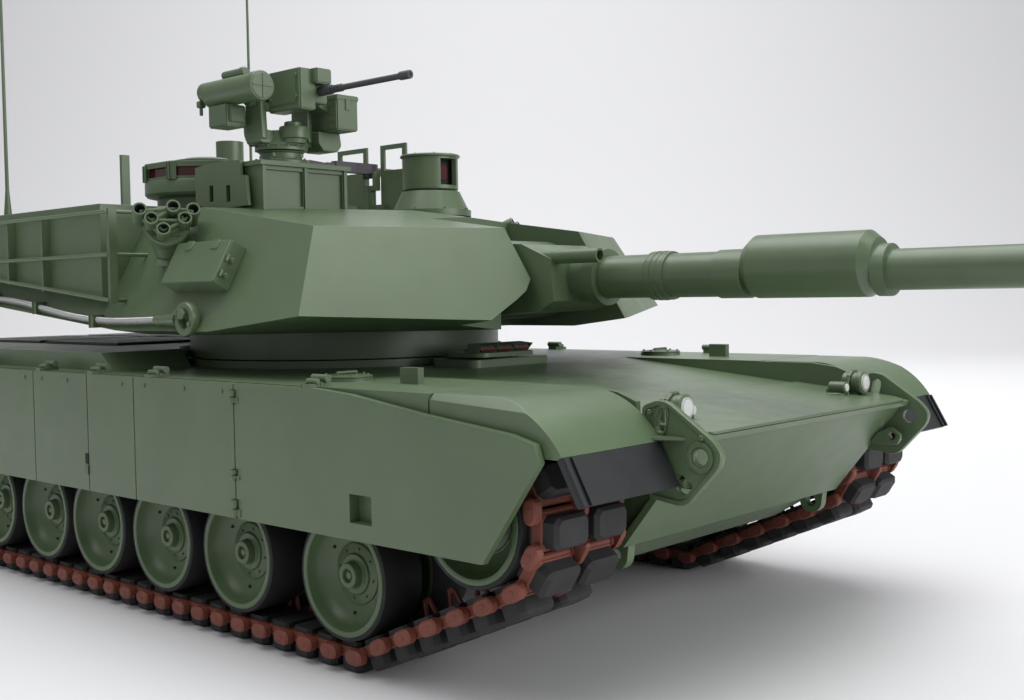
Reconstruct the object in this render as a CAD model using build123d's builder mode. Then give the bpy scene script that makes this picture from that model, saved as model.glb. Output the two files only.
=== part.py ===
"""A 1/16 scale remote controlled tank, in millimetres.

+Z is up and the tank faces -Y, so its own right-hand side is at -X.
Places along the hull are given as `forward`, the distance ahead of the front road wheel's
axle, and places across it as `out`, the distance from the middle plane.
"""
from build123d import *
import os
from math import acos, atan2, cos, hypot, pi, radians, sin

os.makedirs("parts", exist_ok=True)

# ---------------------------------------------------------------- driving dimensions
RIGHT = -1
LEFT = 1
SIDES = ((RIGHT, "right"), (LEFT, "left"))

AXLE_Y = -83.5            # front road wheel axle; puts the origin under the middle of the model
WALL = 2.0                # plate thickness of the shells

# hull
HULL_REAR = -391.0
NOSE = (103.0, 76.5)      # top edge of the lower front plate: forward, up
GLACIS_TOP = (-20.0, 88.6)
DECK_Z = 88.6
ENGINE_DECK_Z = 95.6
ENGINE_DECK_FRONT = -146.0
TUB_HALF = 62.0           # lower hull, half width
NOSE_HALF = 65.0          # front plate, half width
SPONSON_HALF = 111.4
HULL_FLOOR = 30.0

# running gear
WHEEL_R = 19.84
WHEEL_Z = 30.1
WHEEL_STATIONS = (0.0, -54.6, -100.5, -145.1, -187.8, -232.0, -276.0)
IDLER = (55.0, 53.5, 19.0)        # forward, up, radius
SPROCKET = (-335.0, 50.0, 17.4)
TRACK_INNER = 69.4                # out, inner edge of the shoes
TRACK_OUTER = 108.8
TRACK_PITCH = 11.9
BELT_GAP = 0.35                   # wheel rim to shoe
SHOE_BODY = 3.2                   # pitch line to the wheel side of a shoe
SPINDLE_R = 2.4
BORE_R = 2.45

# skirts
SKIRT_INNER = 112.0
SKIRT_OUTER = 114.3
SKIRT_BOTTOM = 44.3
SKIRT_TOP = 88.4
SKIRT_HINGE = -43.5
SKIRT_SEAMS = (-43.5, -104.3, -179.0, -240.0, -300.0, -352.0)

# turret
RING_F = -122.0           # turret axis
ROOF_Z = 150.7
TURRET_REAR = -330.0
TURRET_FLOOR = 103.0
SLOT_RIGHT = 20.0         # gun slot walls, out
SLOT_LEFT = 24.0
SLOT_BACK = -48.0
TRUNNION = (-28.0, 121.2)
GUN_Z = 121.2
MUZZLE = 224.0

# roof equipment: out is signed here, + to the tank's right
CUPOLA = (40.0, -165.0)
LOADER = (-30.0, -163.0)
SIGHT = (-38.0, -107.0)
STATION = (42.0, -110.0)
STATION_Z = 194.5         # gun trunnion of the weapon station
LOADER_PIVOT = (-30.0, -189.0)    # upright pin of the loader's lid, behind the skate ring
LOADER_PIN_R = 1.6


def y_at(forward):
    """Y of a place given as its distance ahead of the front road wheel's axle."""
    return AXLE_Y - forward


def spot(side, out, forward, up):
    """A point on one side of the tank."""
    return (side * out, y_at(forward), up)


def roof_spot(place, up):
    """A point over a place given as (signed out to the right, forward)."""
    return (-place[0], y_at(place[1]), up)


def glacis_z(forward):
    """Height of the sloping front plate's outer face."""
    slope = (GLACIS_TOP[1] - NOSE[1]) / (NOSE[0] - GLACIS_TOP[0])
    return NOSE[1] + (NOSE[0] - forward) * slope


def profile_between(points, side, inner, outer):
    """Inside a part: extrude a (forward, up) outline from `inner` to `outer` on one side."""
    start = min(side * inner, side * outer)
    with BuildSketch(Plane.YZ.offset(start)) as outline:
        Polygon(*[(y_at(f), z) for f, z in points], align=None)
    extrude(outline.sketch, amount=abs(outer - inner))


def profile_across(points, half, mode=Mode.ADD):
    """Inside a part: extrude a (forward, up) outline the same way to both sides."""
    with BuildSketch(Plane.YZ) as outline:
        Polygon(*[(y_at(f), z) for f, z in points], align=None)
    extrude(outline.sketch, amount=half, both=True, mode=mode)


def block(side, outs, forwards, ups, mode=Mode.ADD):
    """Inside a part: a plain block given by its ranges."""
    middle = spot(side, sum(outs) / 2, sum(forwards) / 2, sum(ups) / 2)
    with Locations(middle):
        Box(abs(outs[1] - outs[0]), abs(forwards[1] - forwards[0]), abs(ups[1] - ups[0]), mode=mode)


def rod(start, end, radius, mode=Mode.ADD):
    """Inside a part: a round bar between two points."""
    along = Vector(*end) - Vector(*start)
    with BuildSketch(Plane(origin=start, z_dir=along)) as section:
        Circle(radius)
    extrude(section.sketch, amount=along.length, mode=mode)


def facing(side, normal, place, inset=0.0):
    """A plane through a place, its normal given as (out, forward, up), moved inwards by inset."""
    direction = Vector(side * normal[0], -normal[1], normal[2]).normalized()
    origin = Vector(*spot(side, *place)) - direction * inset
    return Plane(origin=origin, z_dir=direction)


def save(builder, name):
    builder.part.label = name
    export_step(builder.part, f"parts/{name}.step")


# ================================================================ hull
TUB_OUTLINE = (
    (99.5, 74.4), (73.9, 43.1), (52.0, HULL_FLOOR), (-372.0, HULL_FLOOR),
    (-388.0, 46.0), (-388.0, 86.4), (-20.0, 86.4),
)
TUB_HOLLOW = (
    (90.5, 74.0), (70.5, 47.0), (51.0, 32.5), (-371.0, 32.5),
    (-385.5, 47.0), (-385.5, 96.0), (-20.0, 96.0), (88.0, 84.0),
)
TOW_EYE = (69.7, 38.3)     # hole under the nose: forward, up
TOW_EYE_OUT = (57.4, 60.8)
TOW_EYE_R = 2.0
SHAFT_HOLE_R = 3.4

with BuildPart() as tub_form:
    profile_across(TUB_OUTLINE, TUB_HALF)
    profile_across(TUB_HOLLOW, TUB_HALF - WALL, mode=Mode.SUBTRACT)
    # lower front plate, wider than the tub
    profile_across(((99.4, 74.3), (101.4, 74.4), (75.8, 42.0), (73.9, 43.2)), NOSE_HALF)
    for side, _ in SIDES:
        # sprocket shaft hole
        rod(
            spot(side, TUB_HALF - 6, SPROCKET[0], SPROCKET[1]),
            spot(side, TUB_HALF + 6, SPROCKET[0], SPROCKET[1]),
            SHAFT_HOLE_R,
            mode=Mode.SUBTRACT,
        )
    # opening in the floor for the power switch
    block(LEFT, (18, 30), (-242, -234), (29, 34), mode=Mode.SUBTRACT)

with BuildPart() as hull_tub:
    add(tub_form.part)
    # the tub is screwed together from side plates, floor, nose and rear plates
    for side, _ in SIDES:
        seam = Plane(origin=(side * (TUB_HALF - WALL), 0, 0), z_dir=(1, 0, 0))
        split(bisect_by=seam, keep=Keep.BOTH)
    for forward in (51.0, -371.0):
        split(bisect_by=Plane(origin=(0, y_at(forward), 0), z_dir=(0, 1, 0)), keep=Keep.BOTH)
save(hull_tub, "hull_tub")

with BuildPart() as tow_eyes:
    for side, _ in SIDES:
        start = min(side * TOW_EYE_OUT[0], side * TOW_EYE_OUT[1])
        with BuildSketch(Plane.YZ.offset(start)):
            with Locations((y_at(TOW_EYE[0]), TOW_EYE[1])):
                Circle(4.4)
            Polygon(
                (y_at(74.1), 38.3), (y_at(74.8), 43.5), (y_at(66.0), 42.0), (y_at(65.3), 38.3),
                align=None,
            )
            with Locations((y_at(TOW_EYE[0]), TOW_EYE[1])):
                Circle(TOW_EYE_R, mode=Mode.SUBTRACT)
        extrude(amount=TOW_EYE_OUT[1] - TOW_EYE_OUT[0])
    add(tub_form.part, mode=Mode.SUBTRACT)
save(tow_eyes, "tow_eyes")

RING_OPENING_R = 61.0
RING_CLEAR_R = 70.5
HATCH_F = -41.0
HATCH_Z = 92.0
HATCH_HALF = 22.0

with BuildPart() as upper_hull:
    # sloping front plate and the flat deck behind it, in one thickness
    profile_across(
        (
            NOSE, GLACIS_TOP, (HULL_REAR, DECK_Z), (HULL_REAR, DECK_Z - WALL),
            (GLACIS_TOP[0], DECK_Z - WALL), (102.4, NOSE[1] - WALL),
        ),
        NOSE_HALF,
    )
    # front edge lip of the sloping plate
    profile_across(((NOSE[0], NOSE[1]), (104.2, 76.0), (103.4, 74.4), (102.4, 74.5)), NOSE_HALF)
    for side, _ in SIDES:
        # sponson deck over the track, and the wall between it and the sloping plate
        block(side, (NOSE_HALF, SPONSON_HALF), (HULL_REAR, 44.0), (DECK_Z - WALL, DECK_Z))
        profile_between(
            (
                (-20.0, 86.6), (-20.0, 88.4), (66.0, 88.4), (76.0, 87.2), (82.5, 84.8),
                (82.5, glacis_z(82.5) - WALL),
            ),
            side, NOSE_HALF, NOSE_HALF + WALL,
        )
        # drop wall behind the skirts
        block(side, (SPONSON_HALF - 1.4, SPONSON_HALF), (HULL_REAR, 44.0), (82.0, DECK_Z))
    # raised engine deck with a sloped front edge
    profile_across(
        (
            (-137.0, DECK_Z - 0.1), (ENGINE_DECK_FRONT, ENGINE_DECK_Z),
            (HULL_REAR, ENGINE_DECK_Z), (HULL_REAR, DECK_Z - 0.1),
        ),
        103.0,
    )
    # engine bay is open underneath
    with Locations((0, y_at(-295.0), 89.6)):
        Box(116, 176, 8, mode=Mode.SUBTRACT)
    # coaming of the driver's hatch, with a shallow well under the hatch
    with BuildSketch(Plane.XY.offset(DECK_Z - 1.0)):
        with Locations((0, y_at(-36.0))):
            RectangleRounded(2 * HATCH_HALF, 24.0, 4.0)
    extrude(amount=HATCH_Z - DECK_Z + 0.4)
    # clearance for the turret, then the collar round its ring and the opening in the deck
    with Locations((0, y_at(RING_F), 94.0)):
        Cylinder(RING_CLEAR_R, 10.6, mode=Mode.SUBTRACT)
    with Locations((0, y_at(RING_F), 89.9)):
        Cylinder(67.0, 3.0)
    with Locations((0, y_at(RING_F), 90.0)):
        Cylinder(RING_OPENING_R, 20, mode=Mode.SUBTRACT)
    # fuel filler caps on the front deck
    for side, _ in SIDES:
        with Locations(spot(side, 88.0, -18.0, DECK_Z + 0.5)):
            Cylinder(8.5, 1.0)
        with Locations(spot(side, 88.0, -18.0, DECK_Z + 1.4)):
            Cylinder(6.4, 1.0)
save(upper_hull, "upper_hull")

with BuildPart() as engine_grilles:
    # louvred panels on the engine deck
    for side, _ in SIDES:
        for forward, length in ((-243.0, 66.0), (-318.0, 70.0)):
            with BuildSketch(Plane.XY.offset(ENGINE_DECK_Z)):
                with Locations((side * 32.0, y_at(forward))):
                    Rectangle(54.0, length)
                slots = int(length / 7.0)
                first = y_at(forward) - (slots - 1) * 3.5
                with Locations(*[(side * 32.0, first + 7.0 * i) for i in range(slots)]):
                    Rectangle(48.0, 3.2, mode=Mode.SUBTRACT)
            extrude(amount=1.2)
save(engine_grilles, "engine_grilles")

with BuildPart() as hull_fittings:
    # exhaust grille, tail lamps and tow pintle on the rear plate
    for side, _ in SIDES:
        with BuildSketch(Plane.XZ.offset(-y_at(-388.0))):
            with Locations((side * 30.0, 68.0)):
                Rectangle(46.0, 22.0)
            with Locations(*[(side * 30.0, 60.0 + 4.0 * i) for i in range(5)]):
                Rectangle(42.0, 2.0, mode=Mode.SUBTRACT)
        extrude(amount=-2.4)
        block(side, (72.0, 84.0), (-391.0, -386.6), (74.0, 82.0))
        block(side, (64.0, 68.0), (-390.0, -386.0), (76.0, 82.0))
        # spare clips along the top of the side skirts
        for forward in (-6.0, -95.0, -135.0, -175.0, -240.0, -300.0):
            block(side, (106.6, 110.4), (forward - 2.4, forward + 2.4), (DECK_Z, DECK_Z + 1.4))
            rod(
                spot(side, 108.5, forward - 3.6, DECK_Z + 2.4),
                spot(side, 108.5, forward + 3.6, DECK_Z + 2.4),
                1.2,
            )
        # lifting eyes on the front deck
        block(side, (86.0, 88.6), (8.0, 16.0), (DECK_Z, DECK_Z + 5.0))
    rod((0, y_at(-388.0), 44.0), (0, y_at(-391.0), 44.0), 4.2)
save(hull_fittings, "hull_fittings")

GUARD_INNER = 68.0
GUARD_CHEEK = 1.6         # thickness of the mudguards' outer end
GUARD_PATH = ((44.4, 88.6), (64.0, 88.6), (81.0, 84.6), (91.8, 74.4))

with BuildPart() as front_mudguards:
    for side, _ in SIDES:
        start = min(side * GUARD_INNER, side * SPONSON_HALF)
        top = [(y_at(f), z) for f, z in GUARD_PATH]
        low = [(y_at(f), z) for f, z in ((44.4, 87.0), (63.6, 87.0), (79.9, 83.2), (90.3, 73.6))]
        with BuildSketch(Plane.YZ.offset(start)) as sheet:
            with BuildLine():
                Line(top[0], top[1])
                ThreePointArc(top[1], top[2], top[3])
                Line(top[3], low[3])
                ThreePointArc(low[3], low[2], low[1])
                Line(low[1], low[0])
                Line(low[0], top[0])
            make_face()
        extrude(sheet.sketch, amount=SPONSON_HALF - GUARD_INNER)
        # cheek that closes the outer end down to the skirt
        start = min(side * (SPONSON_HALF - GUARD_CHEEK), side * SPONSON_HALF)
        with BuildSketch(Plane.YZ.offset(start)) as cheek:
            with BuildLine():
                Line(top[0], top[1])
                ThreePointArc(top[1], top[2], top[3])
                Polyline(top[3], low[3], (y_at(80.0), 73.6), (y_at(60.0), 77.0), (y_at(44.4), 79.0), top[0])
            make_face()
        extrude(cheek.sketch, amount=GUARD_CHEEK)
    # the outer top edge is planed off towards the skirt
    for side, _ in SIDES:
        split(bisect_by=facing(side, (1.0, 0.06, 1.1), (108.6, 60.0, 88.6)), keep=Keep.BOTTOM)
save(front_mudguards, "front_mudguards")

with BuildPart() as mud_flaps:
    for side, _ in SIDES:
        profile_between(
            ((91.8, 74.3), (98.2, 62.6), (96.7, 61.9), (90.3, 73.5)), side, 68.6, SPONSON_HALF
        )
        for out in (SPONSON_HALF - 1.2, SPONSON_HALF - 4.2):
            profile_between(
                ((92.6, 74.4), (99.0, 62.9), (98.1, 62.5), (91.7, 74.2)), side, out, out + 1.1
            )
save(mud_flaps, "mud_flaps")

BRACKET_OUT = (65.3, 67.7)
BRACKET_EYE = (103.9, 70.6)
BRACKET_OUTLINE = (
    (84.2, 83.6), (90.1, 85.6), (93.6, 85.2), (108.0, 75.5), (110.9, 72.0), (110.1, 68.2),
    (100.1, 57.4), (97.2, 56.6), (86.2, 58.1), (90.6, 68.0),
)

with BuildPart() as lifting_brackets:
    for side, _ in SIDES:
        start = min(side * BRACKET_OUT[0], side * BRACKET_OUT[1])
        with BuildSketch(Plane.YZ.offset(start)):
            Polygon(*[(y_at(f), z) for f, z in BRACKET_OUTLINE], align=None)
            with Locations((y_at(BRACKET_EYE[0]), BRACKET_EYE[1])):
                Circle(2.3, mode=Mode.SUBTRACT)
            with Locations(Location((y_at(91.4), 80.0), 70)):
                SlotOverall(6.6, 3.4, mode=Mode.SUBTRACT)
            with Locations(Location((y_at(98.6), 62.6), 40)):
                SlotOverall(6.0, 3.8, mode=Mode.SUBTRACT)
        extrude(amount=BRACKET_OUT[1] - BRACKET_OUT[0])
        # tow lug on the inner face
        with BuildSketch(Plane.YZ.offset(min(side * 60.6, side * 62.4))):
            Polygon(
                (y_at(93.5), 64.0), (y_at(98.8), 66.2), (y_at(101.6), 61.6), (y_at(90.9), 60.6),
                align=None,
            )
            with Locations((y_at(99.6), 63.4)):
                Circle(3.2)
                Circle(1.3, mode=Mode.SUBTRACT)
        extrude(amount=1.8)
        block(side, (62.2, 65.5), (93.4, 96.6), (61.2, 63.6))
save(lifting_brackets, "lifting_brackets")

LAMP = (55.8, 82.5)        # out, up
LAMP_F = (84.5, 92.5)

with BuildPart() as headlights:
    for side, _ in SIDES:
        rod(spot(side, LAMP[0], LAMP_F[0], LAMP[1]), spot(side, LAMP[0], LAMP_F[1], LAMP[1]), 4.1)
        with BuildSketch(Plane(origin=spot(side, LAMP[0], LAMP_F[1], LAMP[1]), z_dir=(0, 1, 0))):
            Circle(3.3)
        extrude(amount=1.4, mode=Mode.SUBTRACT)
        # foot, shaped to the sloping plate
        profile_between(
            ((82.0, glacis_z(82.0)), (90.0, glacis_z(90.0)), (90.0, 80.0), (82.0, 80.0)),
            side, 53.4, 58.2,
        )
        # marker lamp and its box on the inner side
        profile_between(
            ((80.0, glacis_z(80.0)), (90.0, glacis_z(90.0)), (90.0, 82.6), (80.0, 82.6)),
            side, 45.6, 50.6,
        )
    # lenses are pieces of their own, set in the lamp mouths
    for side, _ in SIDES:
        with BuildSketch(Plane(origin=spot(side, LAMP[0], LAMP_F[1] - 1.3, LAMP[1]), z_dir=(0, -1, 0))):
            Circle(3.25)
        extrude(amount=0.9)
save(headlights, "headlights")

HATCH_PIVOT = (-15.0, HATCH_F)    # signed out, forward

with BuildPart() as driver_hatch:
    with BuildSketch(Plane.XY.offset(HATCH_Z + 0.1)):
        with Locations((0, y_at(-36.6))):
            RectangleRounded(33.0, 21.0, 5.0)
    extrude(amount=1.6)
    with Locations((0, y_at(-41.5), HATCH_Z + 2.2)):
        Box(12.0, 6.0, 1.0)
    with Locations(roof_spot(HATCH_PIVOT, HATCH_Z + 2.6)):
        Cylinder(2.4, 2.0)
    # periscope hood at the front edge
    profile_across(
        ((-30.0, 93.6), (-27.0, 96.6), (-34.0, 97.2), (-36.0, 93.6)), 14.6
    )
    for place in (-9.6, 0.0, 9.6):
        with Locations((place, y_at(-28.4), 95.2)):
            Box(8.0, 4.0, 2.2, mode=Mode.SUBTRACT)
save(driver_hatch, "driver_hatch")

with BuildPart() as driver_periscopes:
    for place in (-9.6, 0.0, 9.6):
        with Locations((place, y_at(-29.3), 95.2)):
            Box(7.8, 2.0, 2.0)
save(driver_periscopes, "driver_periscopes")

# ================================================================ side skirts
KNUCKLE_R = 1.0
KNUCKLE_OUT = SKIRT_OUTER + 0.45
KNUCKLES = ((45.0, 50.4), (57.2, 60.2), (82.0, 86.0))
PIN_R = 0.4


def knuckle_relief(side):
    """Inside a part: hollows in the skirt plates for the hinge knuckles."""
    for low, high in KNUCKLES:
        rod(
            spot(side, KNUCKLE_OUT, SKIRT_HINGE, low - 0.3),
            spot(side, KNUCKLE_OUT, SKIRT_HINGE, high + 0.3),
            KNUCKLE_R + 0.35, mode=Mode.SUBTRACT,
        )


with BuildPart() as side_skirts:
    for side, _ in SIDES:
        for front, back in zip(SKIRT_SEAMS[:-1], SKIRT_SEAMS[1:]):
            low = SKIRT_BOTTOM if back > -350.0 else 66.0
            profile_between(
                (
                    (front - 0.25, SKIRT_BOTTOM), (front - 0.25, SKIRT_TOP),
                    (back + 0.25, SKIRT_TOP), (back + 0.25, low), (back + 8.0, low),
                ),
                side, SKIRT_INNER, SKIRT_OUTER,
            )
        knuckle_relief(side)
save(side_skirts, "side_skirts")

POCKET_BACK = 110.4       # out, bottom of the square pocket in each front skirt
FRONT_SKIRT = (
    (SKIRT_HINGE + 0.25, SKIRT_BOTTOM), (66.3, SKIRT_BOTTOM), (86.8, 72.8), (85.1, 77.6),
    (77.1, 79.6), (44.9, 83.1), (14.1, 87.2), (-2.3, SKIRT_TOP), (SKIRT_HINGE + 0.25, SKIRT_TOP),
)

for side, hand in SIDES:
    with BuildPart() as front_skirt:
        profile_between(FRONT_SKIRT, side, SKIRT_INNER, SKIRT_OUTER)
        knuckle_relief(side)
        # square pocket near the idler
        block(side, (POCKET_BACK - 1.0, SKIRT_INNER + 0.1), (11.6, 24.1), (48.1, 59.4))
        block(side, (POCKET_BACK, 116.0), (13.0, 22.7), (49.5, 58.0), mode=Mode.SUBTRACT)
        # moving half of each hinge knuckle, bored for its pin
        for low, high in KNUCKLES:
            middle = (low + high) / 2
            with Locations(spot(side, KNUCKLE_OUT, SKIRT_HINGE, (low + middle) / 2 - 0.1)):
                Cylinder(KNUCKLE_R, middle - low - 0.2)
            block(
                side, (SKIRT_OUTER - 0.6, SKIRT_OUTER + 0.45), (SKIRT_HINGE + 0.5, SKIRT_HINGE + 2.6),
                (low, middle - 0.2),
            )
            with Locations(spot(side, KNUCKLE_OUT, SKIRT_HINGE, middle)):
                Cylinder(PIN_R + 0.05, 12.0, mode=Mode.SUBTRACT)
    save(front_skirt, f"front_skirt_{hand}")

with BuildPart() as skirt_hinges:
    for side, _ in SIDES:
        for low, high in KNUCKLES:
            middle = (low + high) / 2
            with Locations(spot(side, KNUCKLE_OUT, SKIRT_HINGE, (high + middle) / 2 + 0.1)):
                Cylinder(KNUCKLE_R, high - middle - 0.2)
            block(
                side, (SKIRT_OUTER, SKIRT_OUTER + 0.45), (SKIRT_HINGE - 2.6, SKIRT_HINGE - 0.5),
                (middle + 0.2, high),
            )
            rod(
                spot(side, KNUCKLE_OUT, SKIRT_HINGE, low),
                spot(side, KNUCKLE_OUT, SKIRT_HINGE, high - 0.4),
                PIN_R,
            )
save(skirt_hinges, "skirt_hinges")

# ================================================================ running gear
WHEEL_FACE = 107.2                # out, outer face of every wheel
WHEEL_BACK = 70.8
HORN_GAP = (86.2, 91.8)           # space between the two discs of a wheel
TYRE = 1.25

PAD_DEPTH = WHEEL_Z - WHEEL_R - BELT_GAP - SHOE_BODY     # pitch line to the ground


def wheel_section(radius):
    """Half section of a double dished wheel as (out, radius) points, without its tyres."""
    rim = radius - TYRE
    return (
        (WHEEL_BACK, rim), (WHEEL_BACK, rim - 1.6), (WHEEL_BACK + 1.8, rim - 1.9), (78.4, 13.2),
        (78.0, 6.6), (71.4, 5.8), (71.4, BORE_R), (102.6, BORE_R), (102.6, 0.0), (104.9, 0.0),
        (104.9, 3.2), (103.6, 3.4), (103.2, 5.6), (100.0, 6.6), (99.6, 13.2),
        (WHEEL_FACE - 1.8, rim - 1.9), (WHEEL_FACE, rim - 1.6), (WHEEL_FACE, rim),
        (HORN_GAP[1], rim), (HORN_GAP[1], rim - 1.4), (97.8, 14.0), (98.0, 7.6), (80.0, 7.6),
        (80.2, 14.0), (HORN_GAP[0], rim - 1.4), (HORN_GAP[0], rim),
    )


def hub_plane(forward, up):
    """Half-section plane of a wheel: x runs across the tank, y away from the axle."""
    return Plane(origin=(0, y_at(forward), up), x_dir=(1, 0, 0), z_dir=(0, -1, 0))


def save_wheel(side, forward, up, radius, name):
    """A dished double wheel with its two rubber tyres, bored for its spindle."""
    axle = Axis((0, y_at(forward), up), (1, 0, 0))
    with BuildPart() as disc:
        with BuildSketch(hub_plane(forward, up)):
            Polygon(*[(side * out, r) for out, r in wheel_section(radius)], align=None)
        revolve(axis=axle)
        # hexagon socket of the hub cap
        with BuildSketch(Plane.YZ.offset(side * 103.4)) as socket:
            with Locations((y_at(forward), up)):
                RegularPolygon(1.7, 6)
        extrude(socket.sketch, amount=side * 4.0, mode=Mode.SUBTRACT)
    with BuildPart() as tyres:
        with BuildSketch(hub_plane(forward, up)):
            for inner, outer in ((WHEEL_BACK, HORN_GAP[0]), (HORN_GAP[1], WHEEL_FACE - 0.3)):
                with Locations((side * (inner + outer) / 2, radius - TYRE / 2)):
                    Rectangle(outer - inner, TYRE)
        revolve(axis=axle)
    wheel = Compound(label=name, children=[*disc.part.solids(), *tyres.part.solids()])
    export_step(wheel, f"parts/{name}.step")


for side, hand in SIDES:
    for number, forward in enumerate(WHEEL_STATIONS, start=1):
        save_wheel(side, forward, WHEEL_Z, WHEEL_R, f"road_wheel_{hand}_{number}")
    save_wheel(side, IDLER[0], IDLER[1], IDLER[2], f"idler_wheel_{hand}")

# drive sprockets, each with its shaft into the gearbox
TEETH = 11
TOOTH_ROOT = 15.4
SHAFT_R = 3.0
SHAFT_END = 52.0

for side, hand in SIDES:
    with BuildPart() as sprocket:
        with BuildSketch(hub_plane(SPROCKET[0], SPROCKET[1])):
            Polygon(
                *[
                    (side * out, r)
                    for out, r in (
                        (SHAFT_END, 0), (SHAFT_END, SHAFT_R), (70.8, SHAFT_R), (70.8, 13.6),
                        (84.0, 13.6), (85.4, 10.2), (92.6, 10.2), (94.0, 13.6), (105.6, 13.6),
                        (105.6, 9.0), (102.6, 8.0), (102.6, 4.6), (105.8, 4.0), (105.8, 0),
                    )
                ],
                align=None,
            )
        revolve(axis=Axis((0, y_at(SPROCKET[0]), SPROCKET[1]), (1, 0, 0)))
        for inner, outer in ((71.0, 74.0), (104.0, 107.0)):
            with BuildSketch(Plane.YZ.offset(min(side * inner, side * outer))) as ring:
                with Locations((y_at(SPROCKET[0]), SPROCKET[1])):
                    Circle(TOOTH_ROOT)
                    with PolarLocations((TOOTH_ROOT + SPROCKET[2]) / 2 - 0.7, TEETH):
                        Trapezoid(3.6, SPROCKET[2] - TOOTH_ROOT + 1.4, 74, rotation=-90)
                    Circle(11.0, mode=Mode.SUBTRACT)
            extrude(ring.sketch, amount=outer - inner)
    save(sprocket, f"sprocket_{hand}")


def belt_circles():
    """The wheels the track wraps, counter-clockwise in (y, z): y, z and pitch line radius."""
    reach = BELT_GAP + SHOE_BODY
    wheels = (
        (WHEEL_STATIONS[0], WHEEL_Z, WHEEL_R), (WHEEL_STATIONS[-1], WHEEL_Z, WHEEL_R),
        SPROCKET, IDLER,
    )
    return [(y_at(f), z, r + reach) for f, z, r in wheels]


def belt_segments():
    """Straight runs and arcs of the pitch line, starting under the front road wheel."""
    circles = belt_circles()
    count = len(circles)
    normals = []
    for i in range(count):
        y1, z1, r1 = circles[i]
        y2, z2, r2 = circles[(i + 1) % count]
        span = hypot(y2 - y1, z2 - z1)
        normals.append(atan2(z2 - z1, y2 - y1) - acos((r1 - r2) / span))
    segments = []
    for i in range(count):
        y1, z1, r1 = circles[i]
        y2, z2, r2 = circles[(i + 1) % count]
        angle = normals[i]
        start = (y1 + r1 * cos(angle), z1 + r1 * sin(angle))
        end = (y2 + r2 * cos(angle), z2 + r2 * sin(angle))
        segments.append(("run", hypot(end[0] - start[0], end[1] - start[1]), start, end, angle))
        turn = (normals[(i + 1) % count] - angle) % (2 * pi)
        segments.append(("arc", turn * r2, (y2, z2), r2, angle))
    return segments


def belt_planes():
    """One plane for each shoe: x across the tank, z away from the wheels."""
    segments = belt_segments()
    total = sum(segment[1] for segment in segments)
    count = round(total / TRACK_PITCH)
    planes = []
    for number in range(count):
        distance = number * total / count
        for kind, length, first, second, angle in segments:
            if distance < length:
                break
            distance -= length
        if kind == "run":
            part = distance / length
            y = first[0] + (second[0] - first[0]) * part
            z = first[1] + (second[1] - first[1]) * part
        else:
            angle += distance / second
            y = first[0] + second * cos(angle)
            z = first[1] + second * sin(angle)
        planes.append(Plane(origin=(0, y, z), x_dir=(1, 0, 0), z_dir=(0, cos(angle), sin(angle))))
    print("track shoes:", count, "pitch:", round(total / count, 3))
    return planes


PADS = ((73.2, 88.4), (89.8, 105.0))      # out, the two rubber pads of a shoe
SHOE_LENGTH = 8.8

for side, hand in SIDES:
    with BuildPart() as shoe:
        # body across the track, flat towards the wheels
        with Locations((side * 89.1, 0, 0)):
            Box(33.0, SHOE_LENGTH, SHOE_BODY + 2.0, align=(Align.CENTER, Align.CENTER, Align.MIN))
        with BuildPart(mode=Mode.PRIVATE) as pad:
            with BuildSketch(Plane.XY):
                Rectangle(PADS[0][1] - PADS[0][0], 9.6)
            extrude(amount=PAD_DEPTH - 1.0, taper=12)
        for inner, outer in PADS:
            with Locations((side * (inner + outer) / 2, 0, SHOE_BODY + 1.0)):
                add(pad.part)
        # guide horn between the wheel discs
        with BuildSketch(Plane.YZ.offset(side * 89.0)) as horn:
            Polygon((-3.4, 0.2), (3.4, 0.2), (1.2, -6.2), (-1.2, -6.2), align=None)
        extrude(horn.sketch, amount=1.5, both=True)
        # end connectors on the leading pin
        for inner, outer in ((TRACK_INNER, 72.2), (106.0, TRACK_OUTER)):
            with Locations((side * (inner + outer) / 2, -6.05, SHOE_BODY)):
                Box(outer - inner, 6.8, 4.2)
        rod((side * 70.5, -3.2, SHOE_BODY), (side * 107.7, -3.2, SHOE_BODY), 0.9)
    shoe_solid = shoe.part.moved(Location((0, 0, -SHOE_BODY)))
    shoes = [shoe_solid.moved(Location(plane)) for plane in belt_planes()]
    track = Compound(label=f"track_{hand}", children=shoes)
    export_step(track, f"parts/track_{hand}.step")

# trailing arms and spindles
ARM_OUT = (TUB_HALF, 68.4)
ARM_LEAD = 21.0
ARM_PIVOT_Z = 41.0
SPINDLE_END = 102.2

with BuildPart() as suspension_arms:
    for side, _ in SIDES:
        start = min(side * ARM_OUT[0], side * ARM_OUT[1])
        ends = [((f + ARM_LEAD, ARM_PIVOT_Z), (f, WHEEL_Z)) for f in WHEEL_STATIONS]
        ends.append(((38.0, 48.0), (IDLER[0], IDLER[1])))
        for pivot, spindle in ends:
            with BuildSketch(Plane.YZ.offset(start)) as arm:
                with BuildLine():
                    Line((y_at(pivot[0]), pivot[1]), (y_at(spindle[0]), spindle[1]))
                trace(line_width=7.0)
                with Locations((y_at(pivot[0]), pivot[1])):
                    Circle(5.6)
                with Locations((y_at(spindle[0]), spindle[1])):
                    Circle(4.6)
            extrude(arm.sketch, amount=ARM_OUT[1] - ARM_OUT[0])
            rod(
                spot(side, ARM_OUT[0] + 1, *spindle), spot(side, SPINDLE_END, *spindle), SPINDLE_R
            )
save(suspension_arms, "suspension_arms")

# ================================================================ inside the hull
MOTOR_R = 13.8
MOTOR_F = -305.0

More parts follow.
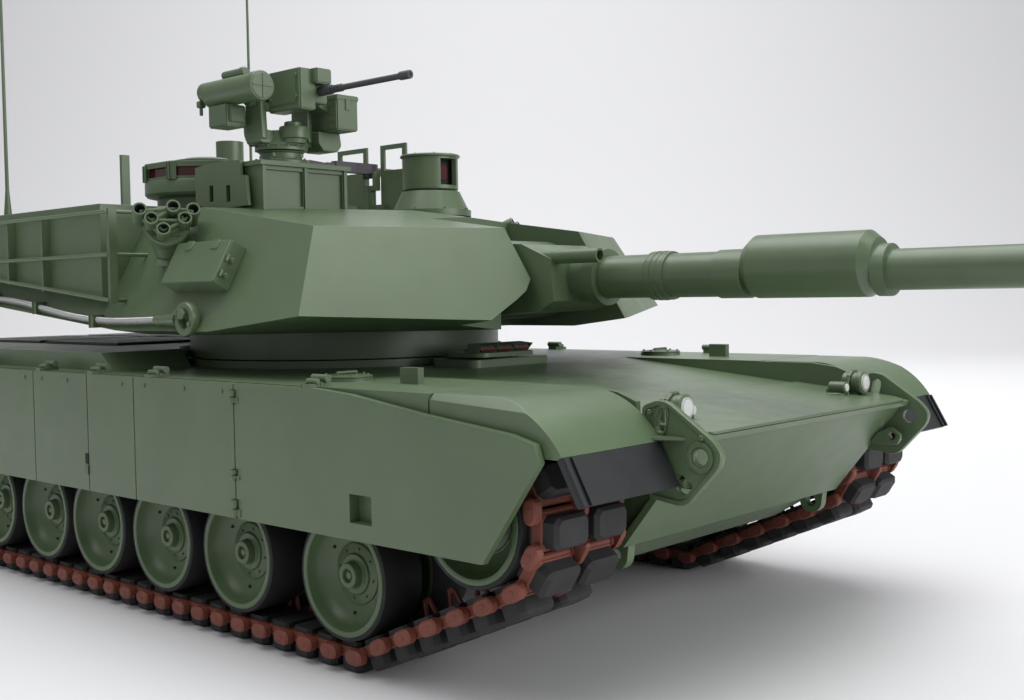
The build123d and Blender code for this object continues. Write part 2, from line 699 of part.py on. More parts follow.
with BuildPart() as drive_units:
    for side, _ in SIDES:
        # gearbox, bored for the sprocket shaft
        block(side, (42.0, 59.6), (-352.0, -288.0), (34.0, 66.0))
        rod(
            spot(side, 51.0, SPROCKET[0], SPROCKET[1]), spot(side, 60.0, SPROCKET[0], SPROCKET[1]),
            SHAFT_R + 0.1, mode=Mode.SUBTRACT,
        )
        # motor
        rod(spot(side, 4.5, MOTOR_F, 50.0), spot(side, 42.0, MOTOR_F, 50.0), MOTOR_R)
        rod(spot(side, 3.0, MOTOR_F, 50.0), spot(side, 5.0, MOTOR_F, 50.0), 5.0)
save(drive_units, "drive_units")

with BuildPart() as battery_pack:
    with BuildSketch(Plane.XY.offset(32.5)):
        with Locations((0, y_at(-70.0))):
            RectangleRounded(46.0, 118.0, 6.0)
    extrude(amount=22.0)
save(battery_pack, "battery_pack")

with BuildPart() as control_board:
    with Locations((0, y_at(-175.0), 52.0)):
        Box(70.0, 74.0, 1.6)
    with Locations((0, y_at(-175.0), 42.25)):
        with GridLocations(62.0, 66.0, 2, 2):
            Cylinder(2.6, 19.5)
    with Locations((-16, y_at(-165.0), 55.0), (18, y_at(-190.0), 54.4), (20, y_at(-158.0), 54.4)):
        Box(18.0, 22.0, 5.0)
save(control_board, "control_board")

with BuildPart() as speaker:
    with Locations((-22, y_at(-246.0), 39.5)):
        Cylinder(20.0, 14.0)
    with Locations((-22, y_at(-246.0), 45.0)):
        Cone(8.0, 17.0, 5.0, mode=Mode.SUBTRACT)
save(speaker, "speaker")

with BuildPart() as power_switch:
    block(LEFT, (16.0, 29.0), (-244.0, -232.0), (32.8, 34.4))
    block(LEFT, (18.6, 24.0), (-240.4, -235.6), (29.4, 33.0))
save(power_switch, "power_switch")

# ================================================================ turret
SIDE_NORMAL = (1.0, 0.0, 0.548)
SIDE_PLACE = (100.0, 0.0, 109.3)
CHEEK_NORMAL = (0.485, 1.0, 0.656)
CHEEK_PLACE = (24.0, 11.0, 107.2)
STRIP_NORMAL = (0.335, 1.0, 0.656)       # narrow strip beside the gun slot
STRIP_PLACE = (29.6, 3.5, 114.5)
ROOF_NORMAL = (0.0635, 0.1422, 1.0)
ROOF_PLACE = (83.4, -37.7, 139.6)
UNDER_NORMAL = (0.11, 0.12, -1.0)
UNDER_PLACE = (99.8, -28.2, 109.6)
EDGE_NORMAL = (0.35, 0.0, -1.0)           # turns the side plates' lower edge in under the floor
EDGE_PLACE = (102.7, 0.0, 104.4)
REAR_UNDER_NORMAL = (0.0, -0.088, -1.0)
REAR_UNDER_PLACE = (0.0, -120.0, TURRET_FLOOR)


def turret_planes(inset):
    """Outward planes that bound the turret body, each moved inwards by inset."""
    planes = []
    for side, _ in SIDES:
        for normal, place in (
            (SIDE_NORMAL, SIDE_PLACE), (CHEEK_NORMAL, CHEEK_PLACE), (STRIP_NORMAL, STRIP_PLACE),
            (ROOF_NORMAL, ROOF_PLACE), (UNDER_NORMAL, UNDER_PLACE), (EDGE_NORMAL, EDGE_PLACE),
        ):
            planes.append(facing(side, normal, place, inset))
    planes.append(facing(LEFT, REAR_UNDER_NORMAL, REAR_UNDER_PLACE, inset))
    return planes


def turret_block(back, front, inset):
    """Inside a part: the turret's outer form, or a smaller copy of it for the hollow."""
    low = TURRET_FLOOR + inset
    high = ROOF_Z - inset
    with Locations((0, y_at((back + front) / 2), (low + high) / 2)):
        Box(260.0, front - back, high - low)
    for plane in turret_planes(inset):
        split(bisect_by=plane, keep=Keep.BOTTOM)


with BuildPart() as turret_form:
    turret_block(TURRET_REAR, 40.0, 0.0)

with BuildPart() as turret_hollow:
    turret_block(TURRET_REAR + 2.5, SLOT_BACK - 4.0, 2.5)

CABLE_HOLE_R = 28.0
TRUNNION_R = 2.6

with BuildPart() as turret_shell:
    add(turret_form.part)
    add(turret_hollow.part, mode=Mode.SUBTRACT)
    # slot for the gun mantlet, open in front, above and below
    block(RIGHT, (-SLOT_LEFT, SLOT_RIGHT), (SLOT_BACK, 40.0), (95.0, 160.0), mode=Mode.SUBTRACT)
    # the right cheek's lower inner corner is cut away
    with BuildSketch(Plane.XZ.offset(-y_at(20.0))) as corner:
        Polygon((-19, 122), (-24, 116.8), (-41, 107), (-41, 95), (-19, 95), align=None)
    extrude(corner.sketch, amount=-32.0, mode=Mode.SUBTRACT)
    # trunnion bores in the slot's walls
    rod(
        (-SLOT_RIGHT - 5, y_at(TRUNNION[0]), TRUNNION[1]),
        (SLOT_LEFT + 5, y_at(TRUNNION[0]), TRUNNION[1]),
        TRUNNION_R, mode=Mode.SUBTRACT,
    )
    # opening in the floor for the turret's wiring
    with Locations((0, y_at(RING_F), 104.0)):
        Cylinder(CABLE_HOLE_R, 8.0, mode=Mode.SUBTRACT)
    # coaming of the loader's hatch
    with Locations(roof_spot(LOADER, ROOF_Z + 1.1)):
        Cylinder(18.0, 2.4)
    # pin that the loader's lid swings on
    with Locations(roof_spot(LOADER_PIVOT, ROOF_Z + 2.5)):
        Cylinder(LOADER_PIN_R, 6.6)
        with Locations((0, 0, -2.0)):
            Cylinder(2.4, 1.8)
save(turret_shell, "turret_shell")

with BuildPart() as turret_base:
    with Locations((0, y_at(RING_F), (91.8 + TURRET_FLOOR) / 2)):
        Cylinder(66.0, TURRET_FLOOR - 91.8)
    with Locations((0, y_at(RING_F), 90.4)):
        Cylinder(60.4, 7.0)
    with Locations((0, y_at(RING_F), 92.0)):
        Cylinder(57.0, 20.0, mode=Mode.SUBTRACT)
    with Locations((0, y_at(RING_F), 101.0)):
        Cylinder(58.0, 2.0)
        Cylinder(CABLE_HOLE_R, 20.0, mode=Mode.SUBTRACT)
save(turret_base, "turret_base")

# gunner's sight box, its side shield, and the panoramic sight's base
with BuildPart() as sight_housing:
    block(RIGHT, (18.0, 60.0), (-136.4, -99.0), (145.0, 167.0))
    block(RIGHT, (16.6, 61.4), (-138.0, -97.4), (167.0, 168.8))
    for inner, outer in ((20.0, 37.8), (40.2, 58.0)):
        block(RIGHT, (inner, outer), (-100.2, -98.0), (151.6, 165.4), mode=Mode.SUBTRACT)
    for out in (18.8, 39.0, 59.2):
        block(RIGHT, (out - 0.8, out + 0.8), (-99.4, -98.2), (149.8, 167.0))
    # shield plate standing off the box's right side
    with BuildSketch(Plane.YZ.offset(-63.2)) as shield:
        Polygon(
            *[
                (y_at(f), z)
                for f, z in (
                    (-139.0, 154.6), (-139.0, 168.6), (-126.0, 169.8), (-108.4, 169.4),
                    (-108.4, 163.6), (-104.8, 163.2), (-103.6, 151.6), (-130.0, 151.0),
                )
            ],
            align=None,
        )
        with Locations((y_at(-128.0), 157.6), (y_at(-116.6), 157.0)):
            Rectangle(2.6, 6.4, mode=Mode.SUBTRACT)
    extrude(shield.sketch, amount=1.4)
    for forward in (-133.0, -110.0):
        block(RIGHT, (59.5, 62.4), (forward - 1.5, forward + 1.5), (152.0, 160.0))
    add(turret_form.part, mode=Mode.SUBTRACT)
    with Locations(roof_spot(SIGHT, ROOF_Z)):
        Cylinder(18.0, 2.8, align=(Align.CENTER, Align.CENTER, Align.MIN))
    with Locations(roof_spot(SIGHT, ROOF_Z + 2.8)):
        Cone(17.0, 13.0, 8.4, align=(Align.CENTER, Align.CENTER, Align.MIN))
    for turn in range(8):
        around = Location(roof_spot(SIGHT, ROOF_Z + 2.8), (0, 0, 45 * turn + 22.5))
        with Locations(around * Location((17.2, 0, 0.3))):
            Cylinder(0.7, 0.9)
save(sight_housing, "sight_housing")

SIGHT_HEAD_Z = ROOF_Z + 11.6

with BuildPart() as panoramic_sight:
    with Locations(roof_spot(SIGHT, SIGHT_HEAD_Z)):
        Cylinder(12.4, 14.2, align=(Align.CENTER, Align.CENTER, Align.MIN))
    with Locations(roof_spot(SIGHT, SIGHT_HEAD_Z + 14.2)):
        Cylinder(13.4, 1.2, align=(Align.CENTER, Align.CENTER, Align.MIN))
    # window recess at the front
    block(
        RIGHT, (SIGHT[0] - 4.6, SIGHT[0] + 4.6), (SIGHT[1] + 8.6, SIGHT[1] + 14.0),
        (SIGHT_HEAD_Z + 3.0, SIGHT_HEAD_Z + 12.6), mode=Mode.SUBTRACT,
    )
save(panoramic_sight, "panoramic_sight")

# ---------------------------------------------------------------- commander's station
BLOCKS = 8
CUPOLA_TOP = 173.0

with BuildPart() as commander_cupola:
    with Locations(roof_spot(CUPOLA, ROOF_Z)):
        Cylinder(21.0, 9.0, align=(Align.CENTER, Align.CENTER, Align.MIN))
    with Locations(roof_spot(CUPOLA, 159.0)):
        Cylinder(26.0, 6.8, align=(Align.CENTER, Align.CENTER, Align.MIN))
    with BuildSketch(Plane.XY.offset(165.6)):
        with Locations((-CUPOLA[0], y_at(CUPOLA[1]))):
            RegularPolygon(25.4, BLOCKS, rotation=22.5)
    extrude(amount=CUPOLA_TOP - 165.6)
    for turn in range(BLOCKS):
        around = Location(roof_spot(CUPOLA, 169.0), (0, 0, 360 / BLOCKS * turn))
        with Locations(around * Location((23.4, 0, 0))):
            Box(4.4, 14.0, 4.6, mode=Mode.SUBTRACT)
    with Locations(roof_spot(CUPOLA, CUPOLA_TOP - 1.0)):
        Cylinder(13.0, 4.0, mode=Mode.SUBTRACT)
save(commander_cupola, "commander_cupola")

with BuildPart() as vision_blocks:
    for turn in range(BLOCKS):
        around = Location(roof_spot(CUPOLA, 169.0), (0, 0, 360 / BLOCKS * turn))
        with Locations(around * Location((22.0, 0, 0))):
            Box(1.6, 13.6, 4.4)
save(vision_blocks, "vision_blocks")

HATCH_HINGE = 17.2         # behind the hatch centre

with BuildPart() as commander_hatch:
    with Locations(roof_spot(CUPOLA, CUPOLA_TOP + 0.3)):
        Cylinder(14.4, 1.6, align=(Align.CENTER, Align.CENTER, Align.MIN))
    with Locations(roof_spot(CUPOLA, CUPOLA_TOP + 1.9)):
        Cone(12.6, 9.0, 1.2, align=(Align.CENTER, Align.CENTER, Align.MIN))
    block(
        RIGHT, (CUPOLA[0] - 5.0, CUPOLA[0] + 5.0),
        (CUPOLA[1] - HATCH_HINGE, CUPOLA[1] - 12.0), (CUPOLA_TOP + 0.6, CUPOLA_TOP + 1.8),
    )
    rod(
        (-CUPOLA[0] - 6.0, y_at(CUPOLA[1] - HATCH_HINGE), CUPOLA_TOP + 1.5),
        (-CUPOLA[0] + 6.0, y_at(CUPOLA[1] - HATCH_HINGE), CUPOLA_TOP + 1.5),
        1.1,
    )
save(commander_hatch, "commander_hatch")

# ---------------------------------------------------------------- loader's station
LOADER_HATCH_Z = ROOF_Z + 2.6

with BuildPart() as loader_hatch:
    with Locations(roof_spot(LOADER, LOADER_HATCH_Z)):
        Cylinder(16.4, 1.8, align=(Align.CENTER, Align.CENTER, Align.MIN))
    with Locations(roof_spot((LOADER[0], LOADER[1] + 7.0), LOADER_HATCH_Z + 1.6)):
        Box(8.0, 6.0, 3.4, align=(Align.CENTER, Align.CENTER, Align.MIN))
    # arm over the skate ring to the boss that turns on the pin
    with Locations(roof_spot((LOADER[0], LOADER[1] - 20.0), LOADER_HATCH_Z + 0.9)):
        Box(6.4, 12.0, 1.8)
    with Locations(roof_spot(LOADER_PIVOT, LOADER_HATCH_Z + 1.0)):
        Cylinder(3.2, 2.0)
        Cylinder(LOADER_PIN_R + 0.05, 12.0, mode=Mode.SUBTRACT)
save(loader_hatch, "loader_hatch")

PINTLE_OUT = -52.0         # signed out of the loader's gun pintle
PINTLE_Z = 174.0
LOADER_GUN_Z = 177.4
SHIELD_OUT = (-55.2, -54.0)
MOUNT_RING = (19.0, 23.0)

with BuildPart() as loader_gun_mount:
    # skate ring round the hatch
    with BuildSketch(Plane.XY.offset(ROOF_Z + 0.3)):
        with Locations((-LOADER[0], y_at(LOADER[1]))):
            Circle(MOUNT_RING[1])
            Circle(MOUNT_RING[0], mode=Mode.SUBTRACT)
    extrude(amount=2.2)
    # pintle post and the fork that holds the gun
    block(RIGHT, (PINTLE_OUT - 3.4, PINTLE_OUT + 3.4), (-168.0, -158.0), (152.0, 156.0))
    rod(
        roof_spot((PINTLE_OUT, LOADER[1]), 155.0), roof_spot((PINTLE_OUT, LOADER[1]), 168.0), 2.4
    )
    block(RIGHT, (PINTLE_OUT - 2.0, PINTLE_OUT + 2.0), (-167.6, -158.4), (167.0, 169.4))
    for forward in (-167.0, -159.0):
        block(
            RIGHT, (PINTLE_OUT - 2.0, PINTLE_OUT + 2.0), (forward - 0.6, forward + 0.6),
            (168.0, 176.0),
        )
    # two shield plates with windows, one each side of the gun
    for near, far in ((-158.0, -140.0), (-168.0, -190.0)):
        low, high = min(near, far), max(near, far)
        block(RIGHT, SHIELD_OUT, (low, high), (157.0, 188.6))
        block(RIGHT, (-58.0, -50.0), (low + 2.6, high - 2.6), (176.4, 186.4), mode=Mode.SUBTRACT)
    block(RIGHT, (SHIELD_OUT[0], PINTLE_OUT + 1.0), (-172.0, -154.0), (157.0, 160.0))
save(loader_gun_mount, "loader_gun_mount")

with BuildPart() as loader_machine_gun:
    gun_y = y_at(LOADER[1])
    rod((54.0, gun_y, LOADER_GUN_Z), (88.0, gun_y, LOADER_GUN_Z), 1.1)
    rod((84.0, gun_y, LOADER_GUN_Z), (89.0, gun_y, LOADER_GUN_Z), 1.5)
    block(RIGHT, (-55.0, -29.0), (-164.9, -161.1), (175.0, 180.0))
    block(RIGHT, (-66.0, -54.0), (-164.0, -162.0), (174.4, 176.6))
    block(RIGHT, (-30.0, -24.0), (-164.3, -161.7), (174.6, 179.0))
    with BuildSketch(Plane.XZ.offset(-gun_y)) as stock:
        Polygon((24.5, 178.6), (24.5, 175.4), (12.0, 172.6), (10.6, 178.2), (14.0, 179.4), align=None)
    extrude(stock.sketch, amount=1.1, both=True)
    rod((33.5, gun_y, 175.2), (32.4, gun_y, 170.4), 1.1)
    # trunnion pin in the fork
    rod((52.0, y_at(-166.2), PINTLE_Z), (52.0, y_at(-159.8), PINTLE_Z), 1.0)
    block(RIGHT, (-53.2, -50.8), (-164.4, -161.6), (173.4, 176.0))
save(loader_machine_gun, "loader_machine_gun")

# ---------------------------------------------------------------- turret sides and bustle
LAUNCHER_FOOT = (89.6, -119.0, 131.5)
LAUNCHER_BACK = (91.6, -115.8, 141.6)     # middle of the casting behind the tubes
LAUNCHER_AIM = (0.45, 0.80, 0.40)         # out, forward, up
TUBE_MOUTHS = (
    (104.4, -112.8, 149.2), (93.8, -107.4, 150.3), (87.8, -103.5, 149.3),
    (101.7, -109.5, 145.8), (91.3, -103.7, 145.9), (99.0, -106.0, 141.8),
)
TUBE_R = 2.5
TUBE_LENGTH = 11.0
TUBE_BORE_R = 2.0
TUBE_BORE_DEPTH = 7.5

with BuildPart() as smoke_launchers:
    for side, _ in SIDES:
        foot = Vector(*spot(side, *LAUNCHER_FOOT))
        neck = Vector(*spot(side, *LAUNCHER_BACK)) - foot
        with Locations(Plane(origin=foot + neck / 2, z_dir=neck)):
            Cone(3.6, 9.6, neck.length)
        aim = Vector(side * LAUNCHER_AIM[0], -LAUNCHER_AIM[1], LAUNCHER_AIM[2])
        rod(tuple(foot + neck - aim), tuple(foot + neck + aim * 5), 8.4)
        for mouth in TUBE_MOUTHS:
            end = Vector(*spot(side, *mouth))
            rod(tuple(end - aim * TUBE_LENGTH), tuple(end), TUBE_R)
        for mouth in TUBE_MOUTHS:
            end = Vector(*spot(side, *mouth))
            rod(
                tuple(end - aim * TUBE_BORE_DEPTH), tuple(end + aim), TUBE_BORE_R,
                mode=Mode.SUBTRACT,
            )
    add(turret_form.part, mode=Mode.SUBTRACT)
save(smoke_launchers, "smoke_launchers")

BIN_OUT = 100.0
BIN_FRONT = -149.0
BIN_LOW_REAR = (-240.0, 126.0)


def bin_low(forward):
    """Height of the bins' lower edge, which rises towards the rear."""
    slope = (BIN_LOW_REAR[1] - 115.4) / (BIN_FRONT - BIN_LOW_REAR[0])
    return 115.4 + slope * max(0.0, min(BIN_FRONT - forward, BIN_FRONT - BIN_LOW_REAR[0]))


with BuildPart() as stowage_bins:
    for side, _ in SIDES:
        profile_between(
            (
                (BIN_FRONT, 115.4), (BIN_FRONT, 153.4), (TURRET_REAR, 153.4),
                (TURRET_REAR, BIN_LOW_REAR[1]), BIN_LOW_REAR,
            ),
            side, 70.0, BIN_OUT,
        )
        # side box on the sloping turret side
        with BuildSketch(Plane.XZ.offset(-y_at(-105.5))) as chest:
            Polygon(
                *[(side * out, up) for out, up in
                  ((94.0, 117.8), (86.0, 132.8), (92.5, 136.5), (100.7, 121.5))],
                align=None,
            )
        extrude(chest.sketch, amount=33.0)
    with Locations((0, y_at(TURRET_REAR) + 8.0, 138.0)):
        Box(2 * BIN_OUT, 15.4, 24.0)
    add(turret_form.part, mode=Mode.SUBTRACT)
save(stowage_bins, "stowage_bins")

RAIL_OUT = 103.4
RACK_FRONT = -137.5
RACK_REAR = -351.0
POSTS = (-137.5, -190.0, -220.0, -272.0, -302.0, -351.0)

with BuildPart() as bustle_rack:
    for side, _ in SIDES:
        for height in (149.6, 133.2):
            rod(
                spot(side, RAIL_OUT, RACK_FRONT, height), spot(side, RAIL_OUT, RACK_REAR, height),
                0.8,
            )
            rod(
                spot(side, 84.0, RACK_FRONT, height), spot(side, RAIL_OUT, RACK_FRONT, height), 0.8
            )
        low_front = bin_low(BIN_FRONT) + 0.4
        low_rear = BIN_LOW_REAR[1] + 0.4
        rod(
            spot(side, RAIL_OUT, RACK_FRONT, low_front),
            spot(side, RAIL_OUT, BIN_LOW_REAR[0], low_rear), 0.8,
        )
        rod(
            spot(side, RAIL_OUT, BIN_LOW_REAR[0] + 0.5, low_rear),
            spot(side, RAIL_OUT, RACK_REAR, low_rear), 0.8,
        )
        rod(spot(side, 92.0, RACK_FRONT, low_front), spot(side, RAIL_OUT, RACK_FRONT, low_front), 0.8)
        for forward in POSTS:
            low = bin_low(forward) - 0.6
            block(side, (BIN_OUT, RAIL_OUT), (forward - 0.8, forward + 0.8), (low, 150.8))
    for height in (149.6, 133.2, low_rear):
        rod(
            spot(RIGHT, RAIL_OUT, RACK_REAR, height), spot(LEFT, RAIL_OUT, RACK_REAR, height), 0.8
        )
    for out in (-60, -20, 20, 60):
        with Locations((out, y_at(-348.5), 138.0)):
            Box(1.6, 5.0, 26.0)
    add(turret_form.part, mode=Mode.SUBTRACT)
save(bustle_rack, "bustle_rack")

# tow cable, clipped along the right-hand side of the turret
CABLE_R = 1.5
CABLE_ROUTE = (
    (102.6, -104.0, 108.2), (102.8, -128.0, 107.4), (102.6, -152.0, 107.9),
    (101.4, -176.0, 110.0), (99.7, -201.0, 113.2), (98.0, -229.0, 116.4), (97.1, -260.0, 118.0),
)

with BuildPart() as tow_cable:
    route = [spot(RIGHT, *place) for place in CABLE_ROUTE]
    corners = []
    for before, here, after in zip(route[:-2], route[1:-1], route[2:]):
        arriving = Vector(*here) - Vector(*before)
        leaving = Vector(*after) - Vector(*here)
        half_turn = radians(arriving.get_angle(leaving)) / 2
        corners.append(0.45 * min(arriving.length, leaving.length) * cos(half_turn) / sin(half_turn))
    print("tow cable radii:", [round(corner) for corner in corners])
    with BuildLine() as cable_line:
        FilletPolyline(*route, radius=corners)
    with BuildSketch(cable_line.line ^ 0):
        Circle(CABLE_R)
    sweep(path=cable_line.line)
    # eye fitting at the front end, and a ferrule at the back
    rod(spot(RIGHT, 102.6, -104.0, 108.2), spot(RIGHT, 102.6, -92.0, 108.5), 2.3)
    with BuildSketch(Plane.YZ.offset(-104.6)) as eye:
        with Locations((y_at(-86.5), 108.7)):
            Circle(6.2)
            Circle(2.8, mode=Mode.SUBTRACT)
    extrude(eye.sketch, amount=3.4)
    add(turret_form.part, mode=Mode.SUBTRACT)
save(tow_cable, "tow_cable")

WHIP_PLACE = (71.0, -286.0)
WHIP_TOP = 322.0

with BuildPart() as antennas:
    for side, _ in SIDES:
        with Locations(spot(side, WHIP_PLACE[0], WHIP_PLACE[1], 153.4)):
            Cone(5.0, 3.4, 4.0, align=(Align.CENTER, Align.CENTER, Align.MIN))
            Cone(2.2, 0.9, 16.0, align=(Align.CENTER, Align.CENTER, Align.MIN))
            Cone(0.9, 0.6, WHIP_TOP - 153.4, align=(Align.CENTER, Align.CENTER, Align.MIN))
    # wind sensor mast at the back and the short aerial drum beside the cupola
    with Locations(roof_spot((0.0, -300.0), ROOF_Z)):
        Box(4.6, 2.2, 42.0, align=(Align.CENTER, Align.CENTER, Align.MIN))
        Cylinder(5.0, 2.0, align=(Align.CENTER, Align.CENTER, Align.MIN))
    with Locations(roof_spot((3.4, -200.0), ROOF_Z)):
        Cylinder(6.4, 39.0, align=(Align.CENTER, Align.CENTER, Align.MIN))
save(antennas, "antennas")

# ---------------------------------------------------------------- remote weapon station
STATION_BASE_Z = 168.8

with BuildPart() as weapon_station_base:
    with Locations(roof_spot(STATION, STATION_BASE_Z)):
        Cylinder(11.0, 1.6, align=(Align.CENTER, Align.CENTER, Align.MIN))
        Cylinder(9.0, 5.0, align=(Align.CENTER, Align.CENTER, Align.MIN))
save(weapon_station_base, "weapon_station_base")

TRUNNION_PIN_R = 1.6

with BuildPart() as weapon_station_yoke:
    with Locations(roof_spot(STATION, 174.2)):
        Cylinder(10.4, 1.8, align=(Align.CENTER, Align.CENTER, Align.MIN))
    with Locations(roof_spot(STATION, 176.0)):
        Cone(9.8, 7.6, 5.6, align=(Align.CENTER, Align.CENTER, Align.MIN))
    with Locations(roof_spot((STATION[0], STATION[1] + 8.4), 178.2)):
        Cylinder(5.8, 5.0, align=(Align.CENTER, Align.CENTER, Align.MIN))
    block(RIGHT, (27.6, 55.4), (-115.0, -105.0), (176.6, 181.6))
    # uprights that carry the elevation trunnions
    for inner, outer in ((30.4, 32.6), (52.6, 55.2)):
        with BuildSketch(Plane.YZ.offset(-outer)) as upright:
            with Locations((y_at(STATION[1]), STATION_Z)):
                Circle(5.0)
            Polygon(
                (y_at(STATION[1] + 6.0), 178.0), (y_at(STATION[1] - 6.0), 178.0),
                (y_at(STATION[1] - 5.0), STATION_Z), (y_at(STATION[1] + 5.0), STATION_Z),
                align=None,
            )
            with Locations((y_at(STATION[1]), STATION_Z)):
                Circle(TRUNNION_PIN_R + 0.05, mode=Mode.SUBTRACT)
        extrude(upright.sketch, amount=outer - inner)
    # lower left bracket and the ammunition box on it
    block(RIGHT, (19.0, 30.6), (-112.0, -100.0), (174.6, 182.4))
    block(RIGHT, (17.6, 28.6), (-108.0, -91.0), (182.4, 196.4))
save(weapon_station_yoke, "weapon_station_yoke")

GUN_OUT = 40.0

with BuildPart() as weapon_station_gun:
    barrel_start = roof_spot((GUN_OUT, -90.0), STATION_Z + 1.0)
    rod(barrel_start, roof_spot((GUN_OUT, -36.0), STATION_Z + 1.0), 1.15)
    rod(roof_spot((GUN_OUT, -40.0), STATION_Z + 1.0), roof_spot((GUN_OUT, -36.0), STATION_Z + 1.0), 1.6)
    # receiver, cradle box and top block
    block(RIGHT, (36.6, 43.6), (-119.0, -87.0), (191.0, 199.6))
    block(RIGHT, (43.0, 50.8), (-106.0, -86.0), (188.0, 203.6))
    block(RIGHT, (37.4, 45.0), (-96.0, -83.0), (198.0, 203.8))
    # trunnion pin
    rod((-30.6, y_at(STATION[1]), STATION_Z), (-60.0, y_at(STATION[1]), STATION_Z), TRUNNION_PIN_R)
    # sensor drum on the right, its small rear drum, its bracket, and the pointer tube on top
    rod((-62.0, y_at(-128.0), 196.4), (-62.0, y_at(-94.0), 196.4), 5.7)
    rod((-62.0, y_at(-132.0), 197.6), (-62.0, y_at(-128.0), 197.6), 4.2)
    block(RIGHT, (57.0, 66.4), (-124.0, -112.0), (182.6, 192.6))
    rod((-61.0, y_at(-120.0), 203.2), (-61.0, y_at(-106.0), 203.2), 1.7)
    block(RIGHT, (60.2, 61.8), (-116.0, -110.0), (201.6, 203.0))
save(weapon_station_gun, "weapon_station_gun")

# ---------------------------------------------------------------- main gun
MANTLET_BORE_R = 7.56
MANTLET_FRONT = 22.0
COAX_OUT = 14.0
COAX_Z = 128.6

with BuildPart() as gun_mantlet:
    # drum that turns on the trunnions, and the block in front of it
    rod(
        (-SLOT_RIGHT + 0.6, y_at(TRUNNION[0]), TRUNNION[1]),
        (SLOT_LEFT - 0.6, y_at(TRUNNION[0]), TRUNNION[1]), 15.0,
    )
    with BuildSketch(Plane.YZ.offset(-17.6)) as snout:
        Polygon(
            *[(y_at(f), z) for f, z in
              ((-30.0, 107.5), (-30.0, 135.0), (-4.0, 133.6), (9.5, 128.0), (11.0, 113.0),
               (4.0, 109.4))],
            align=None,
        )
    extrude(snout.sketch, amount=36.6)
    # collar round the barrel with its front flange
    rod((0, y_at(8.0), GUN_Z), (0, y_at(MANTLET_FRONT), GUN_Z), 9.0)
    rod((0, y_at(17.0), GUN_Z), (0, y_at(MANTLET_FRONT), GUN_Z), 10.0)
    # trunnion pins
    rod(
        (-SLOT_RIGHT - 4.6, y_at(TRUNNION[0]), TRUNNION[1]),
        (SLOT_LEFT + 4.6, y_at(TRUNNION[0]), TRUNNION[1]), TRUNNION_R - 0.06,
    )
    rod((0, y_at(-46.0), GUN_Z), (0, y_at(MANTLET_FRONT + 1), GUN_Z), MANTLET_BORE_R,
        mode=Mode.SUBTRACT)
    # coaxial gun tube
    rod((-COAX_OUT, y_at(-2.0), COAX_Z), (-COAX_OUT, y_at(29.0), COAX_Z), 2.5)
    rod((-COAX_OUT, y_at(22.0), COAX_Z), (-COAX_OUT, y_at(30.0), COAX_Z), 1.8, mode=Mode.SUBTRACT)
save(gun_mantlet, "gun_mantlet")

BARREL_STEPS = (
    (-34.0, 42.0, 7.5), (42.0, 50.0, 8.2), (50.0, 69.0, 7.5), (69.0, 80.0, 8.0),
    (124.0, 128.0, 7.9), (128.0, MUZZLE, 6.15),
)
EVACUATOR = (80.0, 124.0)
EVACUATOR_R = 10.15
EVACUATOR_RISE = 2.05
GUN_BORE_R = 3.75

with BuildPart() as gun_barrel:
    for back, front, radius in BARREL_STEPS:
        rod((0, y_at(back), GUN_Z), (0, y_at(front), GUN_Z), radius)
    # evacuator, set a little high on the barrel
    evacuator_z = GUN_Z + EVACUATOR_RISE
    with BuildSketch(Plane.YZ) as evacuator:
        Polygon(
            (y_at(EVACUATOR[0]), evacuator_z), (y_at(EVACUATOR[0]), evacuator_z + 7.8),
            (y_at(EVACUATOR[0] + 3.0), evacuator_z + EVACUATOR_R),
            (y_at(EVACUATOR[1] - 3.0), evacuator_z + EVACUATOR_R),
            (y_at(EVACUATOR[1]), evacuator_z + 7.8), (y_at(EVACUATOR[1]), evacuator_z),
            align=None,
        )
    revolve(evacuator.sketch, axis=Axis((0, 0, evacuator_z), (0, 1, 0)))
    # collimator on top of the muzzle
    with Locations((0, y_at(MUZZLE - 7.0), GUN_Z + 6.6)):
        Box(3.4, 8.0, 3.0)
    rod((0, y_at(MUZZLE - 70.0), GUN_Z), (0, y_at(MUZZLE + 1), GUN_Z), GUN_BORE_R,
        mode=Mode.SUBTRACT)
save(gun_barrel, "gun_barrel")
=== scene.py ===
"""Looks of a 1/16 scale remote controlled tank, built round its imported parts. Metres, +Z up."""
from math import acos, atan2, cos, degrees, hypot, pi, radians, sin

import bmesh
import bpy
from mathutils import Matrix, Vector


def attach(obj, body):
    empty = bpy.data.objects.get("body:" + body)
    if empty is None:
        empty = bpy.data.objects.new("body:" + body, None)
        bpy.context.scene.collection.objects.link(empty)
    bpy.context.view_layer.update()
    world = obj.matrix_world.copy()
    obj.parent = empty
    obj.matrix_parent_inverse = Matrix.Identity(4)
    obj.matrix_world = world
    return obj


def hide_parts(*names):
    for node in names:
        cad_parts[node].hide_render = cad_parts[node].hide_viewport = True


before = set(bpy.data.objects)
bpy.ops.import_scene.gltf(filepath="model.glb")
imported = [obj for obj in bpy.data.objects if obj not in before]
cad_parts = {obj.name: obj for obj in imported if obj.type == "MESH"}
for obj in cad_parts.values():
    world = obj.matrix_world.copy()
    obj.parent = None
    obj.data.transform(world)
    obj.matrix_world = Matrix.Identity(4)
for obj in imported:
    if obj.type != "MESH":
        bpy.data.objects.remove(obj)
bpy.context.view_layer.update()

MM = 0.001
AXLE_Y = -83.5          # front road wheel axle, mm
RIGHT, LEFT = -1, 1
SIDES = ((RIGHT, "right"), (LEFT, "left"))


def place(side, out, forward, up):
    """A place in mm: out to one side, forward of the front road wheels' axle, and up."""
    return (side * out, AXLE_Y - forward, up)


